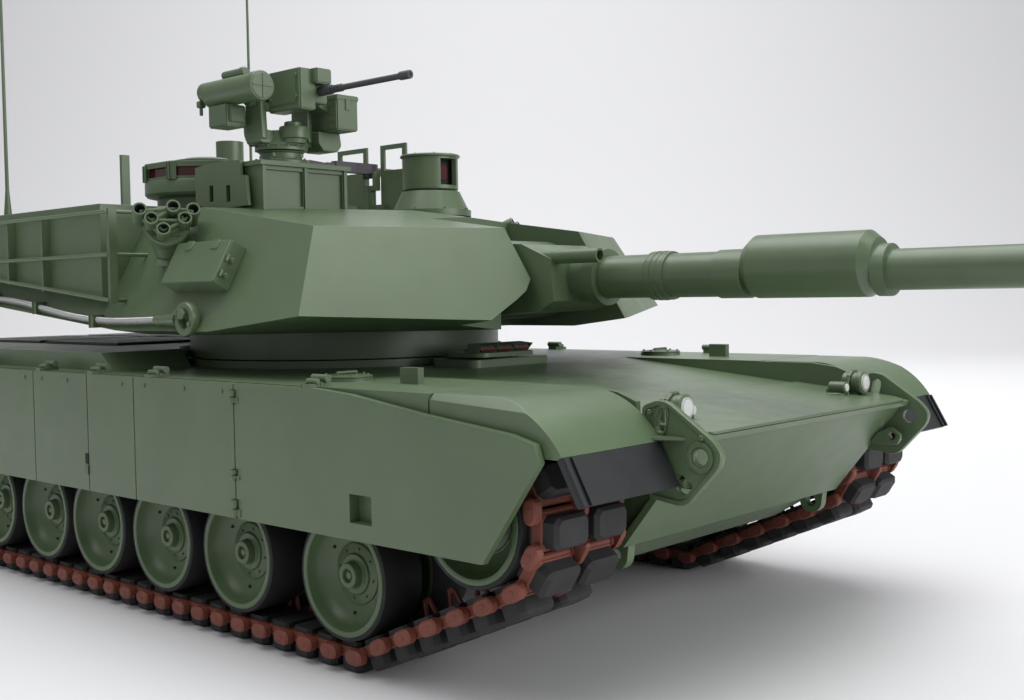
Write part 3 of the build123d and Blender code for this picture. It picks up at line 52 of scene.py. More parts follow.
def shifted(x, y, z):
    """A move by mm."""
    return Matrix.Translation(Vector((x, y, z)) * MM)


def side_plane(side, out=0.0):
    """A frame whose x runs back along the tank, y is up, and z points outwards, at a distance out."""
    return shifted(side * out, 0, 0) @ Matrix(
        ((0, 0, side, 0), (1, 0, 0, 0), (0, 1, 0, 0), (0, 0, 0, 1)))


def front_plane(y, up=0.0):
    """A frame whose x runs across the tank, y is up, and z points forwards."""
    return shifted(0, y, up) @ Matrix(((1, 0, 0, 0), (0, 0, -1, 0), (0, 1, 0, 0), (0, 0, 0, 1)))


# ==== materials
def srgb(r, g, b):
    """Linear colour from 0-255 display values."""
    def line(value):
        value /= 255
        return value / 12.92 if value <= 0.04045 else ((value + 0.055) / 1.055) ** 2.4
    return (line(r), line(g), line(b), 1.0)


class Surface:
    """A node material made step by step."""

    def __init__(self, name):
        self.material = bpy.data.materials.new(name)
        self.material.use_nodes = True
        self.tree = self.material.node_tree
        self.shader = self.tree.nodes["Principled BSDF"]

    def node(self, kind, **values):
        """A node with input sockets set; a space in a socket's name is given as an underscore."""
        made = self.tree.nodes.new(kind)
        for key, value in values.items():
            made.inputs[key.replace("_", " ")].default_value = value
        return made

    def link(self, start, end):
        self.tree.links.new(start, end)

    def noise(self, scale, detail=4.0):
        """Object-space noise, its scale in features per metre."""
        noise = self.node("ShaderNodeTexNoise", Scale=scale, Detail=detail, Roughness=0.6)
        self.link(self.node("ShaderNodeTexCoord").outputs["Object"], noise.inputs["Vector"])
        return noise.outputs["Fac"]

    def ramp(self, value, stops):
        ramp = self.node("ShaderNodeValToRGB")
        elements = ramp.color_ramp.elements
        elements[0].position, elements[0].color = stops[0]
        elements[1].position, elements[1].color = stops[-1]
        for position, colour in stops[1:-1]:
            elements.new(position).color = colour
        self.link(value, ramp.inputs["Fac"])
        return ramp.outputs["Color"]

    def spread(self, value, low, high):
        """A number that runs from low to high over the noise's middle."""
        spread = self.node("ShaderNodeMapRange", From_Min=0.3, From_Max=0.7, To_Min=low, To_Max=high)
        self.link(value, spread.inputs["Value"])
        return spread.outputs["Result"]

    def bump(self, value, distance):
        bump = self.node("ShaderNodeBump", Distance=distance, Strength=0.5)
        self.link(value, bump.inputs["Height"])
        return bump.outputs["Normal"]


def shade(colour, factor):
    return tuple(min(1.0, channel * factor) for channel in colour[:3]) + (1.0,)


def paint(name, colour, rough=(0.42, 0.52), metallic=0.0, specular=0.5, variety=0.08, grain=0.00003):
    """Sprayed paint: faint cloudy tone, fine orange peel, and slightly uneven gloss."""
    surface = Surface(name)
    cloud = surface.noise(38.0, 6.0)
    tones = ((0.3, shade(colour, 1 - variety)), (0.5, colour), (0.7, shade(colour, 1 + variety)))
    surface.link(surface.ramp(cloud, tones), surface.shader.inputs["Base Color"])
    surface.link(surface.spread(surface.noise(120.0), *rough), surface.shader.inputs["Roughness"])
    surface.link(surface.bump(surface.noise(2600.0, 2.0), grain), surface.shader.inputs["Normal"])
    surface.shader.inputs["Metallic"].default_value = metallic
    surface.shader.inputs["Specular IOR Level"].default_value = specular
    return surface.material


green_paint = paint("green_paint", srgb(82, 100, 72), rough=(0.32, 0.40), specular=0.6)
wheel_paint = paint("wheel_paint", srgb(76, 95, 65), rough=(0.33, 0.42))
track_paint = paint("track_brown", srgb(112, 58, 44), rough=(0.5, 0.68), variety=0.18, grain=0.00008)
pad_rubber = paint("pad_rubber", srgb(44, 44, 45), rough=(0.6, 0.75), specular=0.35, variety=0.15,
                   grain=0.0001)
tyre_rubber = paint("tyre_rubber", srgb(36, 36, 38), rough=(0.6, 0.75), specular=0.35, variety=0.1,
                    grain=0.00006)
flap_rubber = paint("flap_rubber", srgb(30, 31, 33), rough=(0.4, 0.52), variety=0.1)
cable_steel = paint("cable_steel", srgb(205, 205, 205), rough=(0.28, 0.4), metallic=1.0)
gun_metal = paint("gun_metal", srgb(72, 66, 74), rough=(0.4, 0.5))
barrel_grey = paint("barrel_grey", srgb(62, 64, 64), rough=(0.4, 0.5))
red_glass = paint("red_glass", srgb(78, 26, 30), rough=(0.06, 0.12), variety=0.1, grain=0.0, specular=0.6)
lens_white = paint("lens_white", srgb(205, 210, 205), rough=(0.08, 0.15), variety=0.04, grain=0.0)
# painted shade: a near-black colour for holes, bores, a groove and gaps that look dark only from shade
painted_shade = paint("painted_shade", srgb(24, 26, 24), rough=(0.7, 0.8))
aluminium = paint("aluminium", srgb(190, 190, 190), rough=(0.35, 0.5), metallic=1.0)
motor_zinc = paint("motor_zinc", srgb(170, 172, 170), rough=(0.35, 0.5), metallic=1.0)
battery_blue = paint("battery_blue", srgb(30, 62, 140), rough=(0.2, 0.3))
board_green = paint("board_green", srgb(20, 84, 46), rough=(0.25, 0.35))
black_plastic = paint("black_plastic", srgb(26, 26, 27), rough=(0.35, 0.5))

NODE_PAINT = {
    "mud_flaps": flap_rubber, "tow_cable": cable_steel, "loader_machine_gun": gun_metal,
    "vision_blocks": red_glass, "driver_periscopes": red_glass, "suspension_arms": aluminium,
    "drive_units": motor_zinc, "battery_pack": battery_blue, "control_board": board_green,
    "speaker": black_plastic, "power_switch": black_plastic, "track_right": track_paint,
    "track_left": track_paint,
}


# ==== mesh tools
def finish_piece(name, bm, body, materials=(green_paint,), stands_for=(), crisp=32.0):
    """Turns a bmesh in metres into a piece that rides on a body."""
    bmesh.ops.recalc_face_normals(bm, faces=bm.faces)
    mesh = bpy.data.meshes.new(name)
    bm.to_mesh(mesh)
    bm.free()
    for material in materials:
        mesh.materials.append(material)
    mesh.polygons.foreach_set("use_smooth", [True] * len(mesh.polygons))
    mesh.set_sharp_from_angle(angle=radians(crisp))
    piece = bpy.data.objects.new(name, mesh)
    bpy.context.scene.collection.objects.link(piece)
    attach(piece, body)
    if stands_for:
        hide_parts(*stands_for)


def stand_in(node, bm, body, materials=(green_paint,)):
    """A finer piece in a CAD node's place."""
    finish_piece(node + "_look", bm, body, materials, (node,))


def bridge(bm, rings, material=0, closed=False, caps=False):
    """Faces from each ring of verts to the next; a ring that is one vert repeated is a point."""
    pairs = list(zip(rings, rings[1:]))
    if closed:
        pairs.append((rings[-1], rings[0]))
    for low, high in pairs:
        for i in range(len(low)):
            after = (i + 1) % len(low)
            corners = dict.fromkeys((low[i], low[after], high[after], high[i]))
            if len(corners) > 2:
                bm.faces.new(list(corners)).material_index = material
    if caps:
        for ring in (rings[0][::-1], rings[-1]):
            bm.faces.new(ring).material_index = material


def turned_rings(bm, section, matrix, segments):
    """Rings of verts from a (height, radius) section in mm, turned about the matrix's Z."""
    rings = []
    for height, radius in section:
        if radius < 1e-6:
            rings.append([bm.verts.new(matrix @ (Vector((0, 0, height)) * MM))] * segments)
            continue
        ring = []
        for i in range(segments):
            angle = 2 * pi * i / segments
            at = Vector((radius * cos(angle), radius * sin(angle), height))
            ring.append(bm.verts.new(matrix @ (at * MM)))
        rings.append(ring)
    return rings


def add_turned(bm, section, matrix, segments, material=0, closed=False, caps=False):
    """A (height, radius) section in mm turned about the matrix's Z."""
    bridge(bm, turned_rings(bm, section, matrix, segments), material, closed, caps)


def add_prism(bm, outline, lift, depth, matrix=Matrix(), material=0, chamfer=0.0):
    """A flat (x, y) outline in mm, raised from z = lift by depth, its far edge chamfered."""
    levels = [(lift, 0.0)]
    if chamfer:
        levels.append((lift + depth - chamfer, 0.0))
    levels.append((lift + depth, chamfer))
    middle = Vector((sum(p[0] for p in outline), sum(p[1] for p in outline))) / len(outline)
    rings = []
    for height, inset in levels:
        ring = []
        for x, y in outline:
            away = Vector((x, y)) - middle
            away -= away.normalized() * inset * 1.2
            place = Vector((middle.x + away.x, middle.y + away.y, height))
            ring.append(bm.verts.new(matrix @ (place * MM)))
        rings.append(ring)
    bridge(bm, rings, material, caps=True)


def add_block(bm, low, high, bevel=0.25, material=0, matrix=Matrix()):
    """A block between two corners in mm with its edges rounded."""
    made = bmesh.ops.create_cube(bm, size=1.0)
    verts = made["verts"]
    size = Vector(high) - Vector(low)
    middle = (Vector(high) + Vector(low)) / 2
    for vert in verts:
        vert.co = matrix @ (Vector((vert.co[i] * size[i] + middle[i] for i in range(3))) * MM)
    faces = {face for vert in verts for face in vert.link_faces}
    for face in faces:
        face.material_index = material
    if bevel:
        edges = {edge for vert in verts for edge in vert.link_edges}
        bmesh.ops.bevel(
            bm, geom=list(edges), offset=bevel * MM, segments=2, affect="EDGES", clamp_overlap=True,
            material=-1,
        )


def add_rod(bm, start, end, radius, segments=16, material=0, end_radius=None, bevel=0.0):
    """A round bar between two places in mm, slightly rounded at its ends."""
    along = Vector(end) - Vector(start)
    matrix = shifted(*start) @ along.to_track_quat("Z", "Y").to_matrix().to_4x4()
    far = radius if end_radius is None else end_radius
    section = [(0.0, radius), (along.length, far)]
    if bevel:
        section = [(0.0, radius - bevel), (bevel, radius), (along.length - bevel, far),
                   (along.length, far - bevel)]
    add_turned(bm, section, matrix, segments, material, caps=True)


def around(centre, radius, turn, up):
    """A place in mm on a circle round an upright axis through (x, y), the turn in degrees."""
    angle = radians(turn)
    return Vector((centre[0] + radius * cos(angle), centre[1] + radius * sin(angle), up))


def add_upright(bm, profile, centre, segments=64, material=0):
    """Turns a (radius, up) profile in mm about an upright axis through (x, y)."""
    section = [(up, radius) for radius, up in profile]
    add_turned(bm, section, shifted(*centre, 0), segments, material)


def add_bolts(bm, centre, radius, count, low, high, size, first=0, bevel=0.1):
    """Hexagonal bolt heads in a ring about an upright axis, from one height to another."""
    for i in range(count):
        x, y, _ = around(centre, radius, 360 / count * i + first, 0)
        add_rod(bm, (x, y, low), (x, y, high), size, 6, bevel=bevel)


def add_bar(bm, side, start, end, radius, segments, *material, **ends):
    """A round bar between two (out, forward, up) places in mm."""
    add_rod(bm, place(side, *start), place(side, *end), radius, segments, *material, **ends)


def add_shafts(bm, side, shafts):
    """Bars along the tank, in mm: out, up, both ends, radius, segments, bevel, material."""
    for out, up, start, end, radius, segments, bevel, *material in shafts:
        add_bar(bm, side, (out, start, up), (out, end, up), radius, segments, *material, bevel=bevel)


def add_blocks(bm, side, blocks):
    """Blocks in mm: two (out, forward, up) corners, bevel, material."""
    for near, far, bevel, *material in blocks:
        add_block(bm, place(side, *near), place(side, *far), bevel, *material)


# ==== wheels
AXLE_UP = 30.1          # road wheel axles
WHEEL_RADIUS = 19.84
REAR_WHEEL = -276.0     # last road wheel, forward of the first
IDLER = (55.0, 53.5, 19.0)          # forward, up, radius
SPROCKET = (-335.0, 50.0, 17.4)
# name, forward, up, radius
WHEELS = [(f"road_wheel_{{}}_{n}", forward, AXLE_UP, WHEEL_RADIUS) for n, forward in
          enumerate((0.0, -54.6, -100.5, -145.1, -187.8, -232.0, REAR_WHEEL), start=1)]
WHEELS.append(("idler_wheel_{}", *IDLER))
RIM = 1.25              # tyre thickness


def wheel_profile(radius):
    """Outer dished disc as a closed (out, radius) section with its bore, mm."""
    rim = radius - RIM
    return [
        (91.8, 2.45), (91.8, rim), (106.8, rim), (107.1, rim - 0.15), (107.2, rim - 0.5),
        (107.2, rim - 1.5), (107.05, rim - 1.8), (106.6, rim - 1.95), (104.4, rim - 2.4),
        (102.6, rim - 3.6), (101.3, rim - 5.4), (100.5, rim - 7.6), (100.2, 10.2), (100.3, 9.7),
        (100.8, 9.5), (101.0, 9.2), (101.1, 6.9), (101.3, 6.5), (101.9, 6.3), (102.1, 6.0),
        (102.1, 4.5), (102.3, 4.2), (104.4, 4.0), (104.8, 3.8), (104.9, 3.4), (104.9, 2.3),
        (104.5, 2.1), (103.6, 2.0), (103.6, 0.0),
    ]


def tyre_profile(inner, outer, radius):
    low = radius - RIM
    return [
        (inner, low), (inner, radius - 0.45), (inner + 0.15, radius - 0.15), (inner + 0.5, radius),
        (outer - 0.5, radius), (outer - 0.15, radius - 0.15), (outer, radius - 0.45), (outer, low),
    ]


def make_wheels():
    for side, hand in SIDES:
        for pattern, forward, up, radius in WHEELS:
            node = pattern.format(hand)
            centre = (AXLE_Y - forward, up)
            turn = shifted(0, *centre) @ side_plane(side)
            bm = bmesh.new()
            add_turned(bm, wheel_profile(radius), turn, 72)
            rim = radius - RIM
            inner = [
                (70.8, 2.45), (70.8, 6.0), (71.4, 6.4), (77.6, 7.4), (78.4, 13.2), (72.6, rim - 2.0),
                (70.8, rim - 1.7), (70.8, rim), (86.2, rim), (86.2, rim - 1.4), (80.2, 14.0),
                (80.0, 7.6), (91.8, 7.6), (91.8, 2.45),
            ]
            add_turned(bm, inner, turn, 48, closed=True)
            # hexagonal bolt head inside the hub cap
            hexagon = [(1.35 * cos(radians(60 * i)), 1.35 * sin(radians(60 * i))) for i in range(6)]
            add_prism(bm, hexagon, 103.5, 0.9, turn, chamfer=0.2)
            # bolts round the hub, and the drain holes in the dish as dark discs of painted shade
            for i in range(8):
                angle = radians(45 * i + 10)
                at = (centre[0] + 7.9 * cos(angle), centre[1] + 7.9 * sin(angle))
                add_rod(bm, (side * 100.9, *at), (side * 101.6, *at), 0.42, 6, bevel=0.1)
            for i in range(3):
                angle = radians(120 * i + 35)
                at = (centre[0] + 12.4 * cos(angle), centre[1] + 12.4 * sin(angle))
                add_rod(bm, (side * 100.3, *at), (side * 101.55, *at), 0.5, 10, material=2)
            for low, high in ((70.8, 86.2), (91.8, 106.9)):
                add_turned(bm, tyre_profile(low, high, radius), turn, 72, 1)
            stand_in(node, bm, node + "_body", (wheel_paint, tyre_rubber, painted_shade))


# ==== tracks
BELT_GAP = 0.35
SHOE_BODY = 3.2
SHOE_PITCH = 11.9
TRACK_MIDDLE = 89.1     # out to the middle of a track
PAD_BOTTOM = AXLE_UP - WHEEL_RADIUS - BELT_GAP - SHOE_BODY


def belt_places():
    """Frames of the shoes round the road wheels, sprocket and idler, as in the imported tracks."""
    wheels = ((0.0, AXLE_UP, WHEEL_RADIUS), (REAR_WHEEL, AXLE_UP, WHEEL_RADIUS), SPROCKET, IDLER)
    circles = [(AXLE_Y - f, z, r + BELT_GAP + SHOE_BODY) for f, z, r in wheels]
    normals = []
    for i, (y1, z1, r1) in enumerate(circles):
        y2, z2, r2 = circles[(i + 1) % 4]
        normals.append(atan2(z2 - z1, y2 - y1) - acos((r1 - r2) / hypot(y2 - y1, z2 - z1)))
    stretches = []
    for i, (y1, z1, r1) in enumerate(circles):
        y2, z2, r2 = circles[(i + 1) % 4]
        angle = normals[i]
        start = Vector((y1 + r1 * cos(angle), z1 + r1 * sin(angle)))
        end = Vector((y2 + r2 * cos(angle), z2 + r2 * sin(angle)))
        turn = (normals[(i + 1) % 4] - angle) % (2 * pi)
        stretches.append(((end - start).length, start, end, None, angle))
        stretches.append((turn * r2, Vector((y2, z2)), None, r2, angle))
    total = sum(stretch[0] for stretch in stretches)
    count = round(total / SHOE_PITCH)
    places = []
    for number in range(count):
        distance = number * total / count
        for length, first, second, radius, angle in stretches:
            if distance < length:
                break
            distance -= length
        if radius is None:
            at = first.lerp(second, distance / length)
        else:
            angle += distance / radius
            at = first + Vector((cos(angle), sin(angle))) * radius
        outward = Vector((0, cos(angle), sin(angle)))
        across = Vector((1, 0, 0))
        matrix = Matrix((across, outward.cross(across), outward)).transposed().to_4x4()
        places.append(shifted(0, at.x, at.y) @ matrix)
    return places, total / count


def stadium(length, width, steps=6):
    """An oblong with round ends, centred, its length along y."""
    radius = width / 2
    half = length / 2 - radius
    points = []
    for end in (1, -1):
        for i in range(steps + 1):
            angle = pi * i / steps + (0 if end > 0 else pi)
            points.append((radius * cos(angle), end * half + radius * sin(angle)))
    return points


def cut_corners(width, length, corner):
    """A rectangle with its corners cut, centred."""
    w, h = width / 2, length / 2
    return [
        (w, -h + corner), (w, h - corner), (w - corner, h), (-w + corner, h),
        (-w, h - corner), (-w, -h + corner), (-w + corner, -h), (w - corner, -h),
    ]


def shoe_mesh(side, pitch):
    """One track shoe with the connectors on its leading pin. z is away from the wheels."""
    bm = bmesh.new()
    brown, rubber = 0, 1
    # two rubber road pads with chamfered edges on their brown frames
    for inner, outer in ((73.2, 88.0), (90.2, 105.0)):
        at = shifted(side * (inner + outer) / 2, 0, 0)
        add_prism(bm, cut_corners(outer - inner - 0.4, 8.9, 1.6), 1.2, PAD_BOTTOM - 1.2, at, rubber, 1.1)
        add_prism(bm, cut_corners(outer - inner + 0.5, 9.4, 1.2), -1.6, 3.6, at, brown, 0.5)
        # rubber on the wheel side
        add_prism(bm, cut_corners(outer - inner - 1.0, 8.6, 1.0), -SHOE_BODY, 1.8, at, rubber)
    # pin tubes
    for shift in (-pitch / 2 + 1.45, pitch / 2 - 1.45):
        add_rod(bm, (side * 72.2, shift, 0), (side * 106.0, shift, 0), 1.25, 12, brown)
        # flared collars beside the pads
        for out in (72.9, 87.6, 90.6, 105.3):
            add_rod(bm, (side * (out - 0.6), shift, 0), (side * (out + 0.6), shift, 0), 1.65, 12, brown)
    # end connectors, each with a raised oblong
    for low, outward in ((105.9, 1), (72.3, -1)):
        at = shifted(side * low, pitch / 2, 0.3) @ Matrix(
            ((0, 0, side * outward, 0), (0, 1, 0, 0), (1, 0, 0, 0), (0, 0, 0, 1)))
        add_prism(bm, stadium(7.6, 4.6), 0.0, 2.85, at, brown, 0.55)
        add_prism(bm, stadium(2.2, 1.5, 4), 2.7, 0.35, at, brown, 0.15)
    # centre connector between the pads
    middle = side * TRACK_MIDDLE
    add_prism(bm, stadium(7.4, 2.4), 0.0, 5.6, shifted(middle, pitch / 2, -1.4), brown, 0.6)
    # bridge under the centre guide and the guide horn, an open A frame
    add_block(bm, (middle - 2.2, -3.9, -2.2), (middle + 2.2, 3.9, 1.6), 0.3, brown)
    for lean in (-1, 1):
        foot, top = lean * 2.9, lean * 0.9
        add_rod(bm, (middle, foot, -1.6), (middle, top, -9.0), 0.85, 8, brown, end_radius=0.7)
    add_block(bm, (middle - 0.9, -1.5, -9.4), (middle + 0.9, 1.5, -7.9), 0.35, brown)
    bmesh.ops.recalc_face_normals(bm, faces=bm.faces)
    mesh = bpy.data.meshes.new("shoe")
    bm.to_mesh(mesh)
    bm.free()
    return mesh


def make_tracks():
    places, pitch = belt_places()
    for side, hand in SIDES:
        shoe = shoe_mesh(side, pitch)
        bm = bmesh.new()
        for shoe_at in places:
            copy = shoe.copy()
            copy.transform(shoe_at)
            bm.from_mesh(copy)
            bpy.data.meshes.remove(copy)
        bpy.data.meshes.remove(shoe)
        finish_piece(f"track_{hand}_links", bm, "root", (track_paint, pad_rubber),
                     (f"track_{hand}",), crisp=28.0)


# ==== turret fittings
def flat_plate(bm, outlines, thickness, matrix, bevel=0.25, material=0):
    """A plate in the matrix's XY plane from closed outlines in mm, the first the edge, the rest holes."""
    curve = bpy.data.curves.new("plate", "CURVE")
    curve.dimensions = "2D"
    curve.fill_mode = "BOTH"
    curve.extrude = (thickness / 2 - bevel) * MM
    curve.bevel_depth = bevel * MM
    curve.bevel_resolution = 1
    curve.offset = -bevel * MM
    for outline in outlines:
        spline = curve.splines.new("POLY")
        spline.points.add(len(outline) - 1)
        for point, (x, y) in zip(spline.points, outline):
            point.co = (x * MM, y * MM, 0, 1)
        spline.use_cyclic_u = True
    holder = bpy.data.objects.new("plate", curve)
    mesh = bpy.data.meshes.new_from_object(holder)
    bpy.data.objects.remove(holder)
    bpy.data.curves.remove(curve)
    for face in mesh.polygons:
        face.material_index = material
    mesh.transform(matrix)
    bm.from_mesh(mesh)
    bpy.data.meshes.remove(mesh)


def rounded(points, radius, steps=5):
    """An outline with its corners rounded to at most a radius."""
    result = []
    count = len(points)
    for i in range(count):
        before, here, after = (Vector(points[(i + k) % count]) for k in (-1, 0, 1))
        start, end = before - here, after - here
        cut = min(radius, start.length * 0.45, end.length * 0.45)
        first, last = here + start.normalized() * cut, here + end.normalized() * cut
        for step in range(steps + 1):
            t = step / steps
            point = first * (1 - t) ** 2 + here * 2 * t * (1 - t) + last * t ** 2
            result.append((point.x, point.y))
    return result


def ring_points(x, y, radius, steps=24):
    angles = [2 * pi * i / steps for i in range(steps)]
    return [(x + radius * cos(angle), y + radius * sin(angle)) for angle in angles]


def turn_points(points, turn, about):
    """Points turned by degrees about a point."""
    angle = radians(turn)
    return [
        (about[0] + (x - about[0]) * cos(angle) - (y - about[1]) * sin(angle),
         about[1] + (x - about[0]) * sin(angle) + (y - about[1]) * cos(angle))
        for x, y in points
    ]


BRACKET_OUTLINE = (
    (84.2, 83.6), (90.1, 85.6), (93.6, 85.2), (108.0, 75.5), (110.9, 72.0), (110.1, 68.2),
    (100.1, 57.4), (97.2, 56.6), (86.2, 58.1), (90.6, 68.0),
)
BRACKET_EYE = (103.9, 70.6)
UPPER_SLOT = (91.4, 80.0)


def backwards(points):
    """(forward, up) places in mm as points of a side plane."""
    return [(AXLE_Y - forward, up) for forward, up in points]


def grown(points, middle, factor):
    """An outline scaled about a point."""
    return [tuple(middle + (Vector(p) - middle) * factor) for p in points]


def make_brackets():
    """Plates with beaded rims and counterbored eyes beside the nose."""
    bm = bmesh.new()
    for side, _ in SIDES:
        outline = backwards(BRACKET_OUTLINE)
        eye, slot_middle = backwards((BRACKET_EYE, UPPER_SLOT))
        upper_slot = turn_points(
            [(x + slot_middle[0], y + slot_middle[1]) for x, y in stadium(6.8, 3.2)], 12, slot_middle)
        lower_slot = rounded(
            backwards(((95.4, 63.6), (97.4, 65.6), (101.4, 62.4), (99.0, 59.6), (96.6, 60.2))), 1.0, 3)
        edge = rounded(outline, 2.6)
        middle = Vector((sum(p[0] for p in outline), sum(p[1] for p in outline))) / len(outline)
        inner_edge = [
            tuple(middle + (Vector(p) - middle) * (1 - 1.5 / max((Vector(p) - middle).length, 3.0)))
            for p in edge
        ]
        holes = [ring_points(*eye, 2.3), upper_slot, lower_slot]
        flat_plate(bm, [edge, *holes], 2.0, side_plane(side, 66.3))
        flat_plate(bm, [edge, inner_edge], 0.7, side_plane(side, 67.45), 0.2)
        flat_plate(bm, [ring_points(*eye, 4.3), ring_points(*eye, 2.9)], 0.8, side_plane(side, 67.5), 0.2)
        rim = grown(upper_slot, Vector(slot_middle), 1.28)
        flat_plate(bm, [rim, upper_slot], 0.7, side_plane(side, 67.45), 0.18)
        # gusset out to the mudguard, and the foot on the nose plate
        gusset = [(side * 67.4, AXLE_Y - 99.6), (side * 67.4, AXLE_Y - 88.0), (side * 73.6, AXLE_Y - 88.4)]
        flat_plate(bm, [rounded(gusset, 0.6, 2)], 1.0, shifted(0, 0, 75.4), 0.2)
        add_blocks(bm, side, [((62.0, 97.4, 61.6), (65.6, 93.0, 63.6), 0.3)])
        # tow lug on the inner face
        lug = rounded(
            backwards(((93.6, 64.4), (99.0, 67.0), (103.0, 64.0), (101.6, 60.6), (91.2, 60.6))), 1.2, 4)
        flat_plate(bm, [lug, ring_points(AXLE_Y - 99.6, 63.6, 1.3, 16)], 1.8, side_plane(side, 61.6))
        for forward, up in ((87.6, 82.2), (88.4, 61.6), (104.6, 76.0)):
            add_bar(bm, side, (67.2, forward, up), (68.2, forward, up), 0.85, 6, bevel=0.15)
    stand_in("lifting_brackets", bm, "root")


LAMP = (55.8, 82.5)     # out and up
MARKER_LAMP = (48.0, 81.2)
GUARD_RADIUS = 4.9


def make_headlights():
    """Lamp drums with lenses and half-round guards, and a marker lamp on a disc foot."""
    bm = bmesh.new()
    for side, _ in SIDES:
        out, up = LAMP
        add_shafts(bm, side, [
            (out, up, 84.5, 90.4, 3.7, 28, 0.3), (out, up, 90.0, 91.9, 4.1, 28, 0.3),
            (out, up, 91.8, 92.3, 3.3, 28, 0.15, 1), (out, up, 92.2, 92.5, 2.4, 28, 0.1, 2),
        ])
        add_blocks(bm, side, [((out - 2.4, 90.0, 77.9), (out + 2.4, 82.0, 79.6), 0.3)])
        # guard loop over the lamp
        arc = [(GUARD_RADIUS * cos(radians(a)), GUARD_RADIUS * sin(radians(a))) for a in range(0, 181, 36)]
        loop = [place(side, out + x, 87.6, up - 0.6 + y) for x, y in arc]
        for start, end in zip(loop, loop[1:]):
            add_rod(bm, start, end, 0.62, 8)
        for leg in (out - GUARD_RADIUS, out + GUARD_RADIUS):
            add_bar(bm, side, (leg, 87.6, up - 0.5), (leg, 87.6, 78.2), 0.62, 8)
        # marker lamp
        out, up = MARKER_LAMP
        add_bar(bm, side, (out, 84.6, 78.0), (out, 84.6, 79.4), 3.6, 24, bevel=0.3)
        add_shafts(bm, side, [(out, up, 82.6, 88.8, 2.0, 18, 0.3), (out, up, 88.6, 89.2, 1.4, 18, 0.1, 2)])
        add_blocks(bm, side, [((out - 1.4, 88.0, 79.0), (out + 1.4, 81.6, 80.6), 0.25)])
    stand_in("headlights", bm, "root", (green_paint, aluminium, lens_white))


LAUNCHER_FOOT = (89.6, -119.0, 131.5)
LAUNCHER_BACK = (91.6, -115.8, 141.6)
LAUNCHER_AIM = (0.45, 0.80, 0.40)
TUBE_MOUTHS = (
    (104.4, -112.8, 149.2), (93.8, -107.4, 150.3), (87.8, -103.5, 149.3),
    (101.7, -109.5, 145.8), (91.3, -103.7, 145.9), (99.0, -106.0, 141.8),
)
# (height, radius) from a tube's back up its outside, over the mouth, and down its bore, which is coloured
# with painted shade
TUBE_OUTSIDE = [(-11.0, 2.2), (-3.4, 2.35), (-3.2, 2.65), (-0.3, 2.65), (0.0, 2.45), (0.0, 2.0), (-0.4, 1.85)]
TUBE_BORE = [(-7.4, 1.8), (-7.4, 0.0)]
NEIGHBOURS = ((0, 1), (1, 2), (0, 3), (1, 3), (1, 4), (2, 4), (3, 4), (3, 5), (4, 5))


def make_launchers():
    """Clusters of six open tubes side by side in a casting that narrows to one foot."""
    bm = bmesh.new()
    for side, _ in SIDES:
        foot = Vector(place(side, *LAUNCHER_FOOT))
        back = Vector(place(side, *LAUNCHER_BACK))
        aim = Vector((side * LAUNCHER_AIM[0], -LAUNCHER_AIM[1], LAUNCHER_AIM[2])).normalized()
        add_rod(bm, foot, back, 3.6, 28, end_radius=8.4)
        add_rod(bm, foot - (back - foot) * 0.18, foot + (back - foot) * 0.05, 4.6, 24, bevel=0.3)
        add_rod(bm, back - aim, back + aim * 4.6, 8.2, 32, bevel=0.5)
        turn = aim.to_track_quat("Z", "Y").to_matrix().to_4x4()
        for mouth in TUBE_MOUTHS:
            at = shifted(*place(side, *mouth)) @ turn
            rings = turned_rings(bm, TUBE_OUTSIDE + TUBE_BORE, at, 24)
            bridge(bm, rings[:len(TUBE_OUTSIDE)])
            # the bore and its floor in painted shade
            bridge(bm, rings[len(TUBE_OUTSIDE) - 1:], 1)
        # webs between neighbouring tubes, just behind their mouths
        for pair in NEIGHBOURS:
            ends = [Vector(place(side, *TUBE_MOUTHS[index])) - aim * 2.4 for index in pair]
            add_rod(bm, *ends, 0.7, 8)
            add_rod(bm, *[end - aim * 3.4 for end in ends], 1.2, 8)
    stand_in("smoke_launchers", bm, "turret", (green_paint, painted_shade))


CUPOLA = (-40.0, AXLE_Y + 165.0)        # x, y of the commander's cupola, mm


def make_cupola():
    """Stepped round base with eight framed windows under a flat cap."""
    bm = bmesh.new()
    add_upright(bm, [
        (0, 150.6), (21.0, 150.6), (21.0, 158.2), (25.2, 159.2), (26.0, 160.2), (26.0, 164.8),
        (25.6, 165.6), (22.0, 165.9), (0, 165.9)], CUPOLA, 80)
    add_upright(bm, [(0, 165.8), (20.6, 165.8), (20.6, 172.0), (0, 172.0)], CUPOLA, 8)
    # cap, its flat sides following the windows
    cap = [tuple(around((0, 0), 26.4, 22.5 + 45 * i, 0).xy) for i in range(8)]
    flat_plate(bm, [rounded(cap, 1.5, 3)], 1.5, shifted(*CUPOLA, 172.3), 0.3)
    facings = [shifted(*CUPOLA, 0) @ Matrix.Rotation(radians(45 * i), 4, "Z") for i in range(8)]
    for turn in facings:
        # posts at the corners, sill and window hood
        add_block(bm, (22.0, 8.0, 165.6), (24.8, 9.8, 171.8), 0.3, 0, turn)
        add_block(bm, (22.0, -9.8, 165.6), (24.8, -8.0, 171.8), 0.3, 0, turn)
        add_block(bm, (20.4, -8.4, 165.6), (24.2, 8.4, 166.6), 0.25, 0, turn)
        add_block(bm, (20.4, -8.4, 170.9), (24.6, 8.4, 171.8), 0.25, 0, turn)
    add_bolts(bm, CUPOLA, 24.6, 20, 165.4, 166.2, 0.55, 9, 0.12)
    stand_in("commander_cupola", bm, "turret")
    bm = bmesh.new()
    for turn in facings:
        add_block(bm, (21.0, -7.8, 166.4), (22.8, 7.8, 171.0), 0.2, 0, turn)
    stand_in("vision_blocks", bm, "turret", (red_glass,))


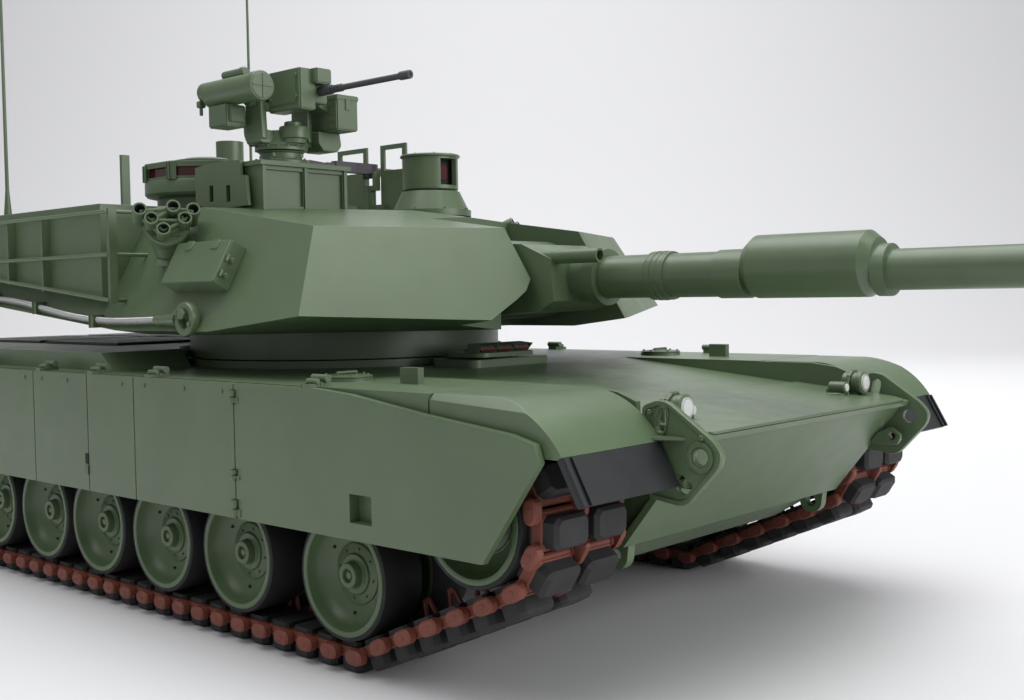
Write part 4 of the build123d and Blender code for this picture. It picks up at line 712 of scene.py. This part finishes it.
SIGHT = (38.0, AXLE_Y + 107.0)          # x, y of the panoramic sight
SIGHT_FOOT = 162.4
SIGHT_RADIUS = 12.4
SIGHT_WINDOW = 4.9                      # half the window's width, along the drum's wall


def make_panoramic_head():
    """Drum head with a deep window in front and a thin lip on top."""
    bm = bmesh.new()
    foot, radius, steps = SIGHT_FOOT, SIGHT_RADIUS, 72
    half = degrees(SIGHT_WINDOW / radius)
    # wall with an opening facing forward
    start, end = -90 + half, 270 - half
    angles = [start + (end - start) * i / steps for i in range(steps + 1)]
    wall = ((radius - 0.6, 0.0), (radius, 0.6), (radius, 14.2), (radius - 2.0, 14.2), (radius - 2.0, 1.2))
    rings = [[bm.verts.new(around(SIGHT, size, a, foot + up) * MM) for a in angles] for size, up in wall]
    for low, high in zip(rings, rings[1:]):
        for i in range(steps):
            bm.faces.new((low[i], low[i + 1], high[i + 1], high[i]))
    for column in (0, -1):
        bm.faces.new([ring[column] for ring in rings])
    # sill below the window and header above it
    sill = ((0, 0), (radius - 0.6, 0), (radius, 0.5), (radius, 2.0), (0, 2.0))
    header = ((0, 13.6), (radius, 13.6), (radius, 14.4), (13.3, 14.7), (13.4, 15.4), (13.0, 15.8),
              (9.0, 16.0), (0, 16.0))
    for profile in (sill, header):
        add_upright(bm, [(size, foot + up) for size, up in profile], SIGHT, 72)
    add_bolts(bm, SIGHT, 11.2, 8, foot + 15.6, foot + 16.2, 0.5, 10)
    # optics box inside, coloured dark with painted shade for the recess behind the window, and its lens
    x, y = SIGHT
    add_block(bm, (x - 6.4, y - 7.4, foot + 2.0), (x + 6.4, y + 4.0, foot + 13.6), 0.3, 1)
    add_rod(bm, (x, y - 7.2, foot + 7.8), (x, y - 8.0, foot + 7.8), 3.6, 28, 2, bevel=0.2)
    stand_in("panoramic_sight", bm, "sight_head", (green_paint, painted_shade, red_glass))


STATION = (-42.0, AXLE_Y + 110.0)       # x, y of the weapon station
STATION_Z = 194.5                       # its gun's trunnion
ARM_RADIUS = 4.9


def make_station_base():
    """Bolted flange of the remote weapon station."""
    bm = bmesh.new()
    add_upright(bm, [(0, 168.8), (11.0, 168.8), (11.0, 170.0), (10.6, 170.4), (8.6, 170.5), (8.3, 171.0),
                     (8.3, 173.0), (9.0, 173.4), (9.2, 173.8), (0, 173.8)], STATION, 56)
    add_bolts(bm, STATION, 9.9, 12, 170.2, 171.1, 0.55, 0, 0.12)
    for i in range(4):
        x, y, _ = around(STATION, 8.2, 90 * i + 30, 0)
        add_block(bm, (x - 0.9, y - 0.9, 171.4), (x + 0.9, y + 0.9, 173.0), 0.2)
    stand_in("weapon_station_base", bm, "turret")


def make_station_yoke():
    """Turning yoke: bolted cone, motor, two cradle arms on a beam, and the ammunition box."""
    x, y = STATION
    bm = bmesh.new()
    add_upright(bm, [(0, 174.2), (10.4, 174.2), (10.4, 175.4), (9.8, 175.8), (10.0, 176.2), (10.0, 177.0),
                     (9.4, 177.4), (8.6, 180.2), (7.6, 181.8), (0, 181.8)], STATION, 56)
    add_bolts(bm, STATION, 10.1, 16, 175.0, 176.1, 0.45)
    # turning motor with its collar, in front of the cone
    add_upright(bm, [(0, 176.6), (4.6, 176.6), (4.8, 178.2), (5.8, 178.6), (5.8, 182.6), (5.5, 183.1),
                     (0, 183.1)], (x, y - 8.4), 40)
    add_upright(bm, [(0, 183.0), (3.4, 183.0), (3.4, 184.6), (3.0, 185.0), (0, 185.0)],
                (x - 0.6, y - 8.6), 24)
    # beam under the arms, and the bracket beside it
    beam = rounded([(-55.4, 176.4), (-27.6, 176.4), (-26.0, 179.2), (-27.6, 182.2), (-34.0, 181.4),
                    (-49.0, 181.4), (-55.4, 182.2)], 1.2, 3)
    flat_plate(bm, [beam], 9.6, front_plane(y), 0.4)
    bracket = rounded([(-30.6, 182.4), (-19.6, 182.4), (-18.8, 177.2), (-21.0, 174.6), (-28.2, 174.6),
                       (-30.6, 177.6)], 0.8, 3)
    flat_plate(bm, [bracket], 11.6, front_plane(y - 4.0), 0.4)
    # arms bored for the trunnion, with bolts on their outer faces
    arm = [(y - 5.8, 178.0), (y + 5.8, 178.0), (y + ARM_RADIUS, STATION_Z)]
    arm += [(y + ARM_RADIUS * cos(radians(a)), STATION_Z + ARM_RADIUS * sin(radians(a)))
            for a in range(0, 181, 15)]
    arm += [(y - ARM_RADIUS, STATION_Z)]
    for low, high, near, face in ((30.4, 32.6, 30.7, 29.9), (52.6, 55.2, 54.9, 55.7)):
        flat_plate(bm, [rounded(arm, 0.3, 1), ring_points(y, STATION_Z, 1.7, 20)], high - low,
                   side_plane(RIGHT, (low + high) / 2), 0.3)
        for bolt in ring_points(y, STATION_Z, 3.5, 6):
            add_rod(bm, (RIGHT * near, *bolt), (RIGHT * face, *bolt), 0.5, 6, bevel=0.1)
    add_blocks(bm, RIGHT, [
        # ammunition box, lid, ribs and latch
        ((28.6, -91.0, 182.4), (17.6, -108.0, 195.4), 0.5),
        ((28.9, -90.7, 194.2), (17.3, -108.3, 196.4), 0.4),
        *[((28.9, -92.6, up), (17.3, -106.4, up + 0.7), 0.2) for up in (185.6, 188.8, 192.0)],
        ((24.4, -90.5, 190.4), (21.8, -91.2, 195.0), 0.2),
        # feed chute from the box to the gun
        *[((29.6 + 1.1 * i, -96.4, 189.6 + 0.5 * i), (28.6 + 1.1 * i, -104.6, 192.8 + 0.5 * i), 0.2)
          for i in range(7)],
    ])
    # cable conduits
    for shift in (0.0, 2.4):
        bend = (51.0, shift - 120.8, 181.0)
        add_bar(bm, RIGHT, (50.0, shift - 118.8, 176.4), bend, 0.8, 10)
        add_bar(bm, RIGHT, bend, (52.0, shift - 119.8, 188.0), 0.8, 10)
    stand_in("weapon_station_yoke", bm, "station_yoke")


def make_station_gun():
    """The station's gun in its cradle box, with the sensor drum beside it."""
    bm = bmesh.new()
    bore = STATION_Z + 1.0
    add_shafts(bm, RIGHT, [
        # barrel with its jacket, cooling rings and muzzle booster
        (40, bore, -90, -40.6, 1.15, 20, 0, 1),
        (40, bore, -89, -80.0, 1.9, 20, 0.2, 1),
        *[(40, bore, ring, ring + 1.1, 1.5, 20, 0.15, 1) for ring in (-79, -77, -75)],
        (40, bore, -41.4, -36.0, 1.6, 20, 0.25, 1),
        # dark disc of painted shade for the muzzle's bore
        (40, bore, -36.2, -35.95, 0.7, 14, 0, 2),
        # sensor drum: barrel, front ring, window, and the rear drum
        (62.0, 196.4, -127.4, -96.4, 5.35, 44, 0.4),
        (62.0, 196.4, -98.4, -94.4, 5.7, 44, 0.35),
        (62.0, 196.4, -94.6, -94.1, 4.9, 44, 0.15),
        (62.0, 196.6, -128.2, -127.0, 4.6, 36, 0.2),
        (62.0, 197.6, -132.0, -128.0, 4.2, 36, 0.35),
        # pointer tube on top
        (61.0, 203.2, -120.0, -106.0, 1.7, 24, 0.2),
        (61.0, 203.2, -108.4, -106.6, 2.0, 24, 0.2),
    ])
    add_blocks(bm, RIGHT, [
        # receiver, top cover, side motor and its cover, block over the barrel, ribs, and grips
        ((43.6, -87.0, 191.0), (36.6, -119.0, 197.6), 0.4),
        ((43.0, -88.6, 197.4), (37.2, -116.0, 199.6), 0.4),
        ((50.8, -86.0, 188.0), (43.0, -106.0, 203.6), 0.5),
        ((51.2, -88.0, 190.4), (50.6, -104.0, 201.2), 0.25),
        ((45.0, -83.0, 198.0), (37.4, -96.0, 203.8), 0.5),
        *[((45.3, rib, 199.0), (44.9, rib - 1.2, 203.0), 0.15) for rib in (-85.4, -89.0, -92.6)],
        ((42.6, -119.0, 192.0), (37.6, -122.4, 196.0), 0.4, 1),
        # cross of thin ribs on the drum's window
        ((66.6, -93.8, 196.2), (57.4, -94.2, 196.6), 0.05),
        ((62.2, -93.8, 191.8), (61.8, -94.2, 201.0), 0.05),
        # boxes under the drum
        ((66.4, -112.0, 182.6), (57.0, -124.0, 191.2), 0.5),
        ((65.0, -110.8, 184.4), (58.4, -112.2, 190.0), 0.3),
        ((60.4, -124.6, 187.2), (57.4, -128.4, 191.8), 0.3),
        # feet of the pointer tube, and the connector under the rear drum
        *[((62.0, foot, 201.4), (60.0, foot - 1.6, 202.6), 0.2) for foot in (-117.4, -110.6)],
        ((66.2, -129.6, 191.6), (63.4, -132.4, 194.2), 0.3),
    ])
    # bolts of the side cover, trunnion pin and its drum, and the connector's cable
    bolts = [(50.6, 51.7, forward, up, 0.7, 6, 0.15) for up in (192.8, 201.0) for forward in (-88.0, -103.6)]
    for near, far, forward, up, radius, segments, bevel in (
            *bolts, (30.6, 59.8, -110, STATION_Z, 1.6, 24, 0), (55.5, 57.6, -110, STATION_Z, 3.9, 32, 0.3)):
        add_bar(bm, RIGHT, (near, forward, up), (far, forward, up), radius, segments, bevel=bevel)
    add_bar(bm, RIGHT, (64.8, -131.0, 192.6), (64.8, -131.0, 188.6), 0.7, 10)
    stand_in("weapon_station_gun", bm, "station_gun", (green_paint, barrel_grey, painted_shade))


# ==== turret trim
CABLE_ROUTE = (
    (102.6, -104.0, 108.2), (102.8, -128.0, 107.4), (102.6, -152.0, 107.9),
    (101.4, -176.0, 110.0), (99.7, -201.0, 113.2), (98.0, -229.0, 116.4), (97.1, -260.0, 118.0),
)


STRAND_LAY = 9.0        # length of rope in which a strand goes once round, mm


def smooth_route(points, steps):
    """Points along the NURBS spline that has these control points, in metres."""
    curve = bpy.data.curves.new("route", "CURVE")
    curve.dimensions = "3D"
    curve.resolution_u = steps // (len(points) - 1)
    spline = curve.splines.new("NURBS")
    spline.points.add(len(points) - 1)
    for point, at in zip(spline.points, points):
        point.co = (*(Vector(at) * MM), 1)
    spline.order_u = 3
    spline.use_endpoint_u = True
    holder = bpy.data.objects.new("route", curve)
    mesh = bpy.data.meshes.new_from_object(holder)
    route = [vert.co.copy() for vert in mesh.vertices]
    bpy.data.meshes.remove(mesh)
    bpy.data.objects.remove(holder)
    bpy.data.curves.remove(curve)
    return route


def add_tube(bm, route, radius, segments, twist=0.0, off=0.0):
    """A tube along a route in metres; off and twist wind it round the route as a strand."""
    rings = []
    travelled = 0.0
    for i, point in enumerate(route):
        along = (route[min(i + 1, len(route) - 1)] - route[max(i - 1, 0)]).normalized()
        level = along.cross(Vector((0, 0, 1))).normalized()
        upward = level.cross(along)
        if i:
            travelled += (point - route[i - 1]).length
        lean = twist + travelled / (STRAND_LAY * MM) * 2 * pi
        centre = point + (level * cos(lean) + upward * sin(lean)) * off * MM
        rings.append([bm.verts.new(centre + (level * x + upward * y) * MM)
                      for x, y in ring_points(0.0, 0.0, radius, segments)])
    bridge(bm, rings, caps=True)


def make_tow_cable():
    """Seven-strand steel rope clipped along the turret, with its green socket and shackle eye."""
    bm = bmesh.new()
    route = smooth_route([place(RIGHT, *p) for p in CABLE_ROUTE], 288)
    add_tube(bm, route, 0.85, 8)
    for strand in range(6):
        add_tube(bm, route, 0.52, 7, twist=2 * pi * strand / 6, off=0.98)
    add_bar(bm, RIGHT, (102.6, -106.6, 108.2), (102.6, -103.0, 108.3), 1.9, 20, 1, bevel=0.2)
    add_bar(bm, RIGHT, (102.6, -103.4, 108.3), (102.8, -92.0, 108.6), 1.8, 24, 1,
            end_radius=2.5)
    eye = [ring_points(AXLE_Y + 86.5, 108.7, 6.1, 28), ring_points(AXLE_Y + 86.5, 108.7, 3.3, 20)]
    flat_plate(bm, eye, 3.3, side_plane(RIGHT, 102.9), 0.7, 1)
    # shackle pin, its head, and the clamp bolts
    add_bar(bm, RIGHT, (101.0, -86.0, 110.6), (105.4, -86.0, 110.6), 1.3, 16, 1, bevel=0.2)
    add_bar(bm, RIGHT, (105.2, -86.0, 110.6), (106.2, -86.0, 110.6), 2.1, 6, 1, bevel=0.25)
    for forward, up in ((-90.6, 110.9), (-82.6, 107.0)):
        add_bar(bm, RIGHT, (104.2, forward, up), (105.3, forward, up), 1.0, 6, 1, bevel=0.2)
    # clips that hold the rope to the turret side
    for forward, out, up in ((-150.0, 102.4, 107.8), (-201.0, 99.7, 113.1), (-246.0, 97.5, 117.2)):
        near, far = (out - 2.2, forward - 1.2, up - 2.1), (out + 1.9, forward + 1.2, up + 2.1)
        add_blocks(bm, RIGHT, [(near, far, 0.4, 1)])
    stand_in("tow_cable", bm, "turret", (cable_steel, green_paint))


def make_chests():
    """Lids, hinge straps and toggle latches of the boxes on the turret sides."""
    bm = bmesh.new()
    # the boxes' outer faces lean with the turret sides, from low to high
    low, high = Vector((101.1, 121.3)), Vector((92.9, 136.3))
    upward, length = (high - low).normalized(), (high - low).length
    outward = Vector((upward.y, -upward.x))
    for side, _ in SIDES:
        face = shifted(side * low.x, 0, low.y) @ Matrix((
            (0, side * upward.x, side * outward.x, 0), (1, 0, 0, 0), (0, upward.y, outward.y, 0),
            (0, 0, 0, 1)))
        # the lid, then its two straps
        for front, back, bottom, top, corner, steps, thickness in (
                (72.6, 105.4, 0.4, length - 0.2, 0.8, 3, 0.9),
                (78.6, 82.6, length - 3.6, length + 0.2, 0.4, 2, 1.9),
                (94.6, 98.6, length - 3.6, length + 0.2, 0.4, 2, 1.9)):
            outline = [(AXLE_Y + front, bottom), (AXLE_Y + back, bottom), (AXLE_Y + back, top),
                       (AXLE_Y + front, top)]
            flat_plate(bm, [rounded(outline, corner, steps)], thickness, face, 0.2)

        def at(forward, along, proud):
            x, up = low + upward * along + outward * proud
            return place(side, x, forward, up)

        # latches on the front end of the box
        for along in (length * 0.25, length * 0.6):
            add_rod(bm, at(-72.2, along, -2.6), at(-70.6, along, -2.6), 0.9, 12, bevel=0.15)
            add_rod(bm, at(-71.4, along, -3.4), at(-71.4, along, -0.6), 0.45, 8)
            add_rod(bm, at(-71.4, along - 1.2, -0.8), at(-71.4, along + 1.2, -0.8), 0.5, 8)
    finish_piece("side_box_fittings", bm, "turret")


# ==== hull trim
GLACIS_FOOT = (103.0, 76.5)     # forward, up
GLACIS_TOP = (-20.0, 88.6)
APRON_BACK = 60.0
SKIRT_SCREWS = (-50.0, -72.0, -97.0, -112.0, -152.0, -172.0, -186.0, -210.0, -232.0, -248.0, -290.0,
                -308.0, -344.0)
SKIRT_CLIPS = (-6.0, -95.0, -135.0, -175.0, -240.0, -300.0)
BARREL_UP = 121.2
BARREL_RINGS = ((42.4, 8.35), (44.6, 8.45), (46.8, 8.45), (49.0, 8.3))      # forward, radius


def make_apron():
    """The separate front plate on the slope, and a dark strip of painted shadow behind its upper edge."""
    slope = (GLACIS_TOP[1] - GLACIS_FOOT[1]) / (GLACIS_FOOT[0] - GLACIS_TOP[0])
    level = GLACIS_FOOT[1] + (GLACIS_FOOT[0] - APRON_BACK) * slope
    tilt = Matrix(((1, 0, 0, 0), (0, 1, 0, 0), (0, slope, 1, 0), (0, 0, 0, 1)))
    bm = bmesh.new()
    plate = [(-64.6, -0.4), (64.6, -0.4), (64.6, -39.0), (60.6, -44.2), (-60.6, -44.2), (-64.6, -39.0)]
    flat_plate(bm, [rounded(plate, 0.8, 2)], 0.8, shifted(0, AXLE_Y - APRON_BACK, level + 0.22) @ tilt, 0.2)
    finish_piece("nose_apron", bm, "root")
    bm = bmesh.new()
    # a thin near-black strip of painted shadow where the plate's upper edge stands off the slope
    edge_shadow = [(-65.0, 0.6), (65.0, 0.6), (65.0, -0.2), (-65.0, -0.2)]
    flat_plate(bm, [edge_shadow], 0.14, shifted(0, AXLE_Y - APRON_BACK, level + 0.2) @ tilt, 0.03)
    finish_piece("nose_edge_shadow", bm, "root", (painted_shade,))


def make_skirt_details():
    """Engraved joint with its latch on the skirts, the groove and a patch by the latch coloured dark as
    painted shade, and screws along the panel tops.
    """
    bm = bmesh.new()
    for side, _ in SIDES:
        add_blocks(bm, side, [
            # the joint's groove and a patch beside the latch as thin dark strips of painted shade
            ((114.25, -137.2, 44.6), (114.34, -136.8, 88.2), 0.0, 1),
            ((114.2, -139.0, 54.6), (114.5, -137.3, 58.4), 0.08, 1),
            ((114.2, -138.4, 50.6), (114.7, -137.2, 54.0), 0.1),
        ])
        for forward in SKIRT_SCREWS:
            add_bar(bm, side, (114.2, forward, 85.6), (114.75, forward, 85.6), 0.8, 12, bevel=0.2)
    finish_piece("skirt_details", bm, "root", (green_paint, painted_shade))


def make_deck_details():
    """Clips along the skirt tops, and filler caps with their bolts and handles."""
    bm = bmesh.new()
    for side, _ in SIDES:
        for forward in SKIRT_CLIPS:
            add_blocks(bm, side, [((109.4, forward - 2.2, 88.5), (114.2, forward + 2.2, 89.4), 0.2)])
            add_shafts(bm, side, [(111.6, 90.2, forward - 2.6, forward + 2.6, 0.9, 14, 0.15)])
            add_bar(bm, side, (111.6, forward - 0.6, 90.2), (112.8, forward - 0.6, 87.0), 0.6, 10)
        x, y = side * 88.0, AXLE_Y + 18.0
        add_upright(bm, [(7.6, 89.4), (8.3, 89.8), (8.3, 90.2), (7.4, 90.4), (6.2, 90.4)], (x, y), 40)
        add_bolts(bm, (x, y), 7.2, 6, 90.2, 90.9, 0.5)
        add_rod(bm, (x - 4.0, y, 91.2), (x + 4.0, y, 91.2), 0.5, 8)
        for foot in (x - 4.0, x + 4.0):
            add_rod(bm, (foot, y, 90.6), (foot, y, 91.5), 0.5, 8)
    finish_piece("deck_details", bm, "root")


def make_barrel_details():
    """Rings round the barrel's sleeve."""
    bm = bmesh.new()
    for forward, radius in BARREL_RINGS:
        section = [(forward - 0.5, radius - 0.5), (forward - 0.3, radius), (forward + 0.3, radius),
                   (forward + 0.5, radius - 0.5)]
        add_turned(bm, section, front_plane(AXLE_Y, BARREL_UP), 64)
    finish_piece("barrel_rings", bm, "barrel")


# ==== CAD pieces
def dress_cad_nodes():
    """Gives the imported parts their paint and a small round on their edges."""
    for name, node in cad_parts.items():
        node.data.materials.clear()
        node.data.materials.append(NODE_PAINT.get(name, green_paint))
        weld = node.modifiers.new("joined_faces", "WELD")
        weld.merge_threshold = 0.002 * MM
        dissolve = node.modifiers.new("flat_faces", "DECIMATE")
        dissolve.decimate_type = "DISSOLVE"
        dissolve.angle_limit = radians(1.0)
        bevel = node.modifiers.new("edge_round", "BEVEL")
        bevel.width = 0.22 * MM
        bevel.segments = 2
        bevel.limit_method = "ANGLE"
        bevel.angle_limit = radians(32)
        flat = node.modifiers.new("flat_normals", "WEIGHTED_NORMAL")
        flat.mode = "FACE_AREA"
        flat.weight = 100


# ==== scene
def set_stage():
    """A plain pale floor that curves up into the backdrop."""
    mesh = bpy.data.meshes.new("floor")
    bm = bmesh.new()
    profile = [(-3.0, 0.0), (1.6, 0.0)]
    profile += [(1.6 + 1.2 * sin(radians(a)), 1.2 - 1.2 * cos(radians(a))) for a in range(6, 91, 6)]
    profile += [(2.8, 5.0)]
    rows = [[bm.verts.new((x, y, z)) for x in (-8.0, 8.0)] for y, z in profile]
    for low, high in zip(rows, rows[1:]):
        bm.faces.new((low[0], low[1], high[1], high[0]))
    bm.to_mesh(mesh)
    bm.free()
    mesh.polygons.foreach_set("use_smooth", [True] * len(mesh.polygons))
    floor = bpy.data.objects.new("floor", mesh)
    bpy.context.scene.collection.objects.link(floor)
    # the backdrop stands square to the camera's view
    floor.rotation_euler = (0, 0, radians(-CAMERA_YAW))
    surface = Surface("floor_white")
    surface.shader.inputs["Base Color"].default_value = (0.66, 0.66, 0.67, 1)
    surface.shader.inputs["Roughness"].default_value = 0.55
    mesh.materials.append(surface.material)


CAMERA_PLACE = (-343.8, -369.1, 115.65)     # mm
CAMERA_YAW = 47.90                          # degrees from +Y towards +X
CAMERA_DOWN = 2.63
CAMERA_ROLL = -0.923
CAMERA_LENS = 42.63


def set_camera():
    yaw, down, roll = radians(CAMERA_YAW), radians(CAMERA_DOWN), radians(CAMERA_ROLL)
    look = Vector((sin(yaw) * cos(down), cos(yaw) * cos(down), -sin(down)))
    level = look.cross(Vector((0, 0, 1))).normalized()
    upward = level.cross(look)
    right = level * cos(roll) + upward * sin(roll)
    up = upward * cos(roll) - level * sin(roll)
    camera = bpy.data.objects.new("camera", bpy.data.cameras.new("camera"))
    camera.data.lens = CAMERA_LENS
    camera.data.clip_start = 0.01
    turn = Matrix((right, up, -look)).transposed().to_4x4()
    camera.matrix_world = Matrix.Translation(Vector(CAMERA_PLACE) * MM) @ turn
    bpy.context.scene.collection.objects.link(camera)
    bpy.context.scene.camera = camera


def area_light(name, source, aim, size, power):
    light = bpy.data.objects.new(name, bpy.data.lights.new(name, "AREA"))
    light.data.shape = "RECTANGLE"
    light.data.size, light.data.size_y = size
    light.data.energy = power
    light.location = source
    light.rotation_euler = (Vector(aim) - Vector(source)).to_track_quat("-Z", "Y").to_euler()
    bpy.context.scene.collection.objects.link(light)


def set_lights():
    world = bpy.data.worlds.new("studio")
    world.use_nodes = True
    world.node_tree.nodes["Background"].inputs["Color"].default_value = (0.95, 0.96, 1.0, 1)
    world.node_tree.nodes["Background"].inputs["Strength"].default_value = 0.36
    bpy.context.scene.world = world
    area_light("top_softbox", (0.1, 0.1, 1.9), (0, 0, 0), (2.2, 2.2), 50)
    area_light("front_softbox", (0.6, -2.2, 0.8), (0, 0, 0.1), (1.8, 1.4), 30)
    area_light("side_softbox", (-1.9, 0.3, 1.9), (0, 0, 0.1), (1.4, 1.0), 6)
    area_light("backdrop_light", (0.7, 0.6, 1.7), (2.2, 2.0, 0.7), (1.6, 1.6), 20)


dress_cad_nodes()
make_wheels()
make_tracks()
make_brackets()
make_headlights()
make_launchers()
make_cupola()
make_panoramic_head()
make_station_base()
make_station_yoke()
make_station_gun()
make_tow_cable()
make_chests()
make_apron()
make_skirt_details()
make_deck_details()
make_barrel_details()
set_camera()
set_lights()
set_stage()
bpy.context.scene.view_settings.view_transform = "Standard"
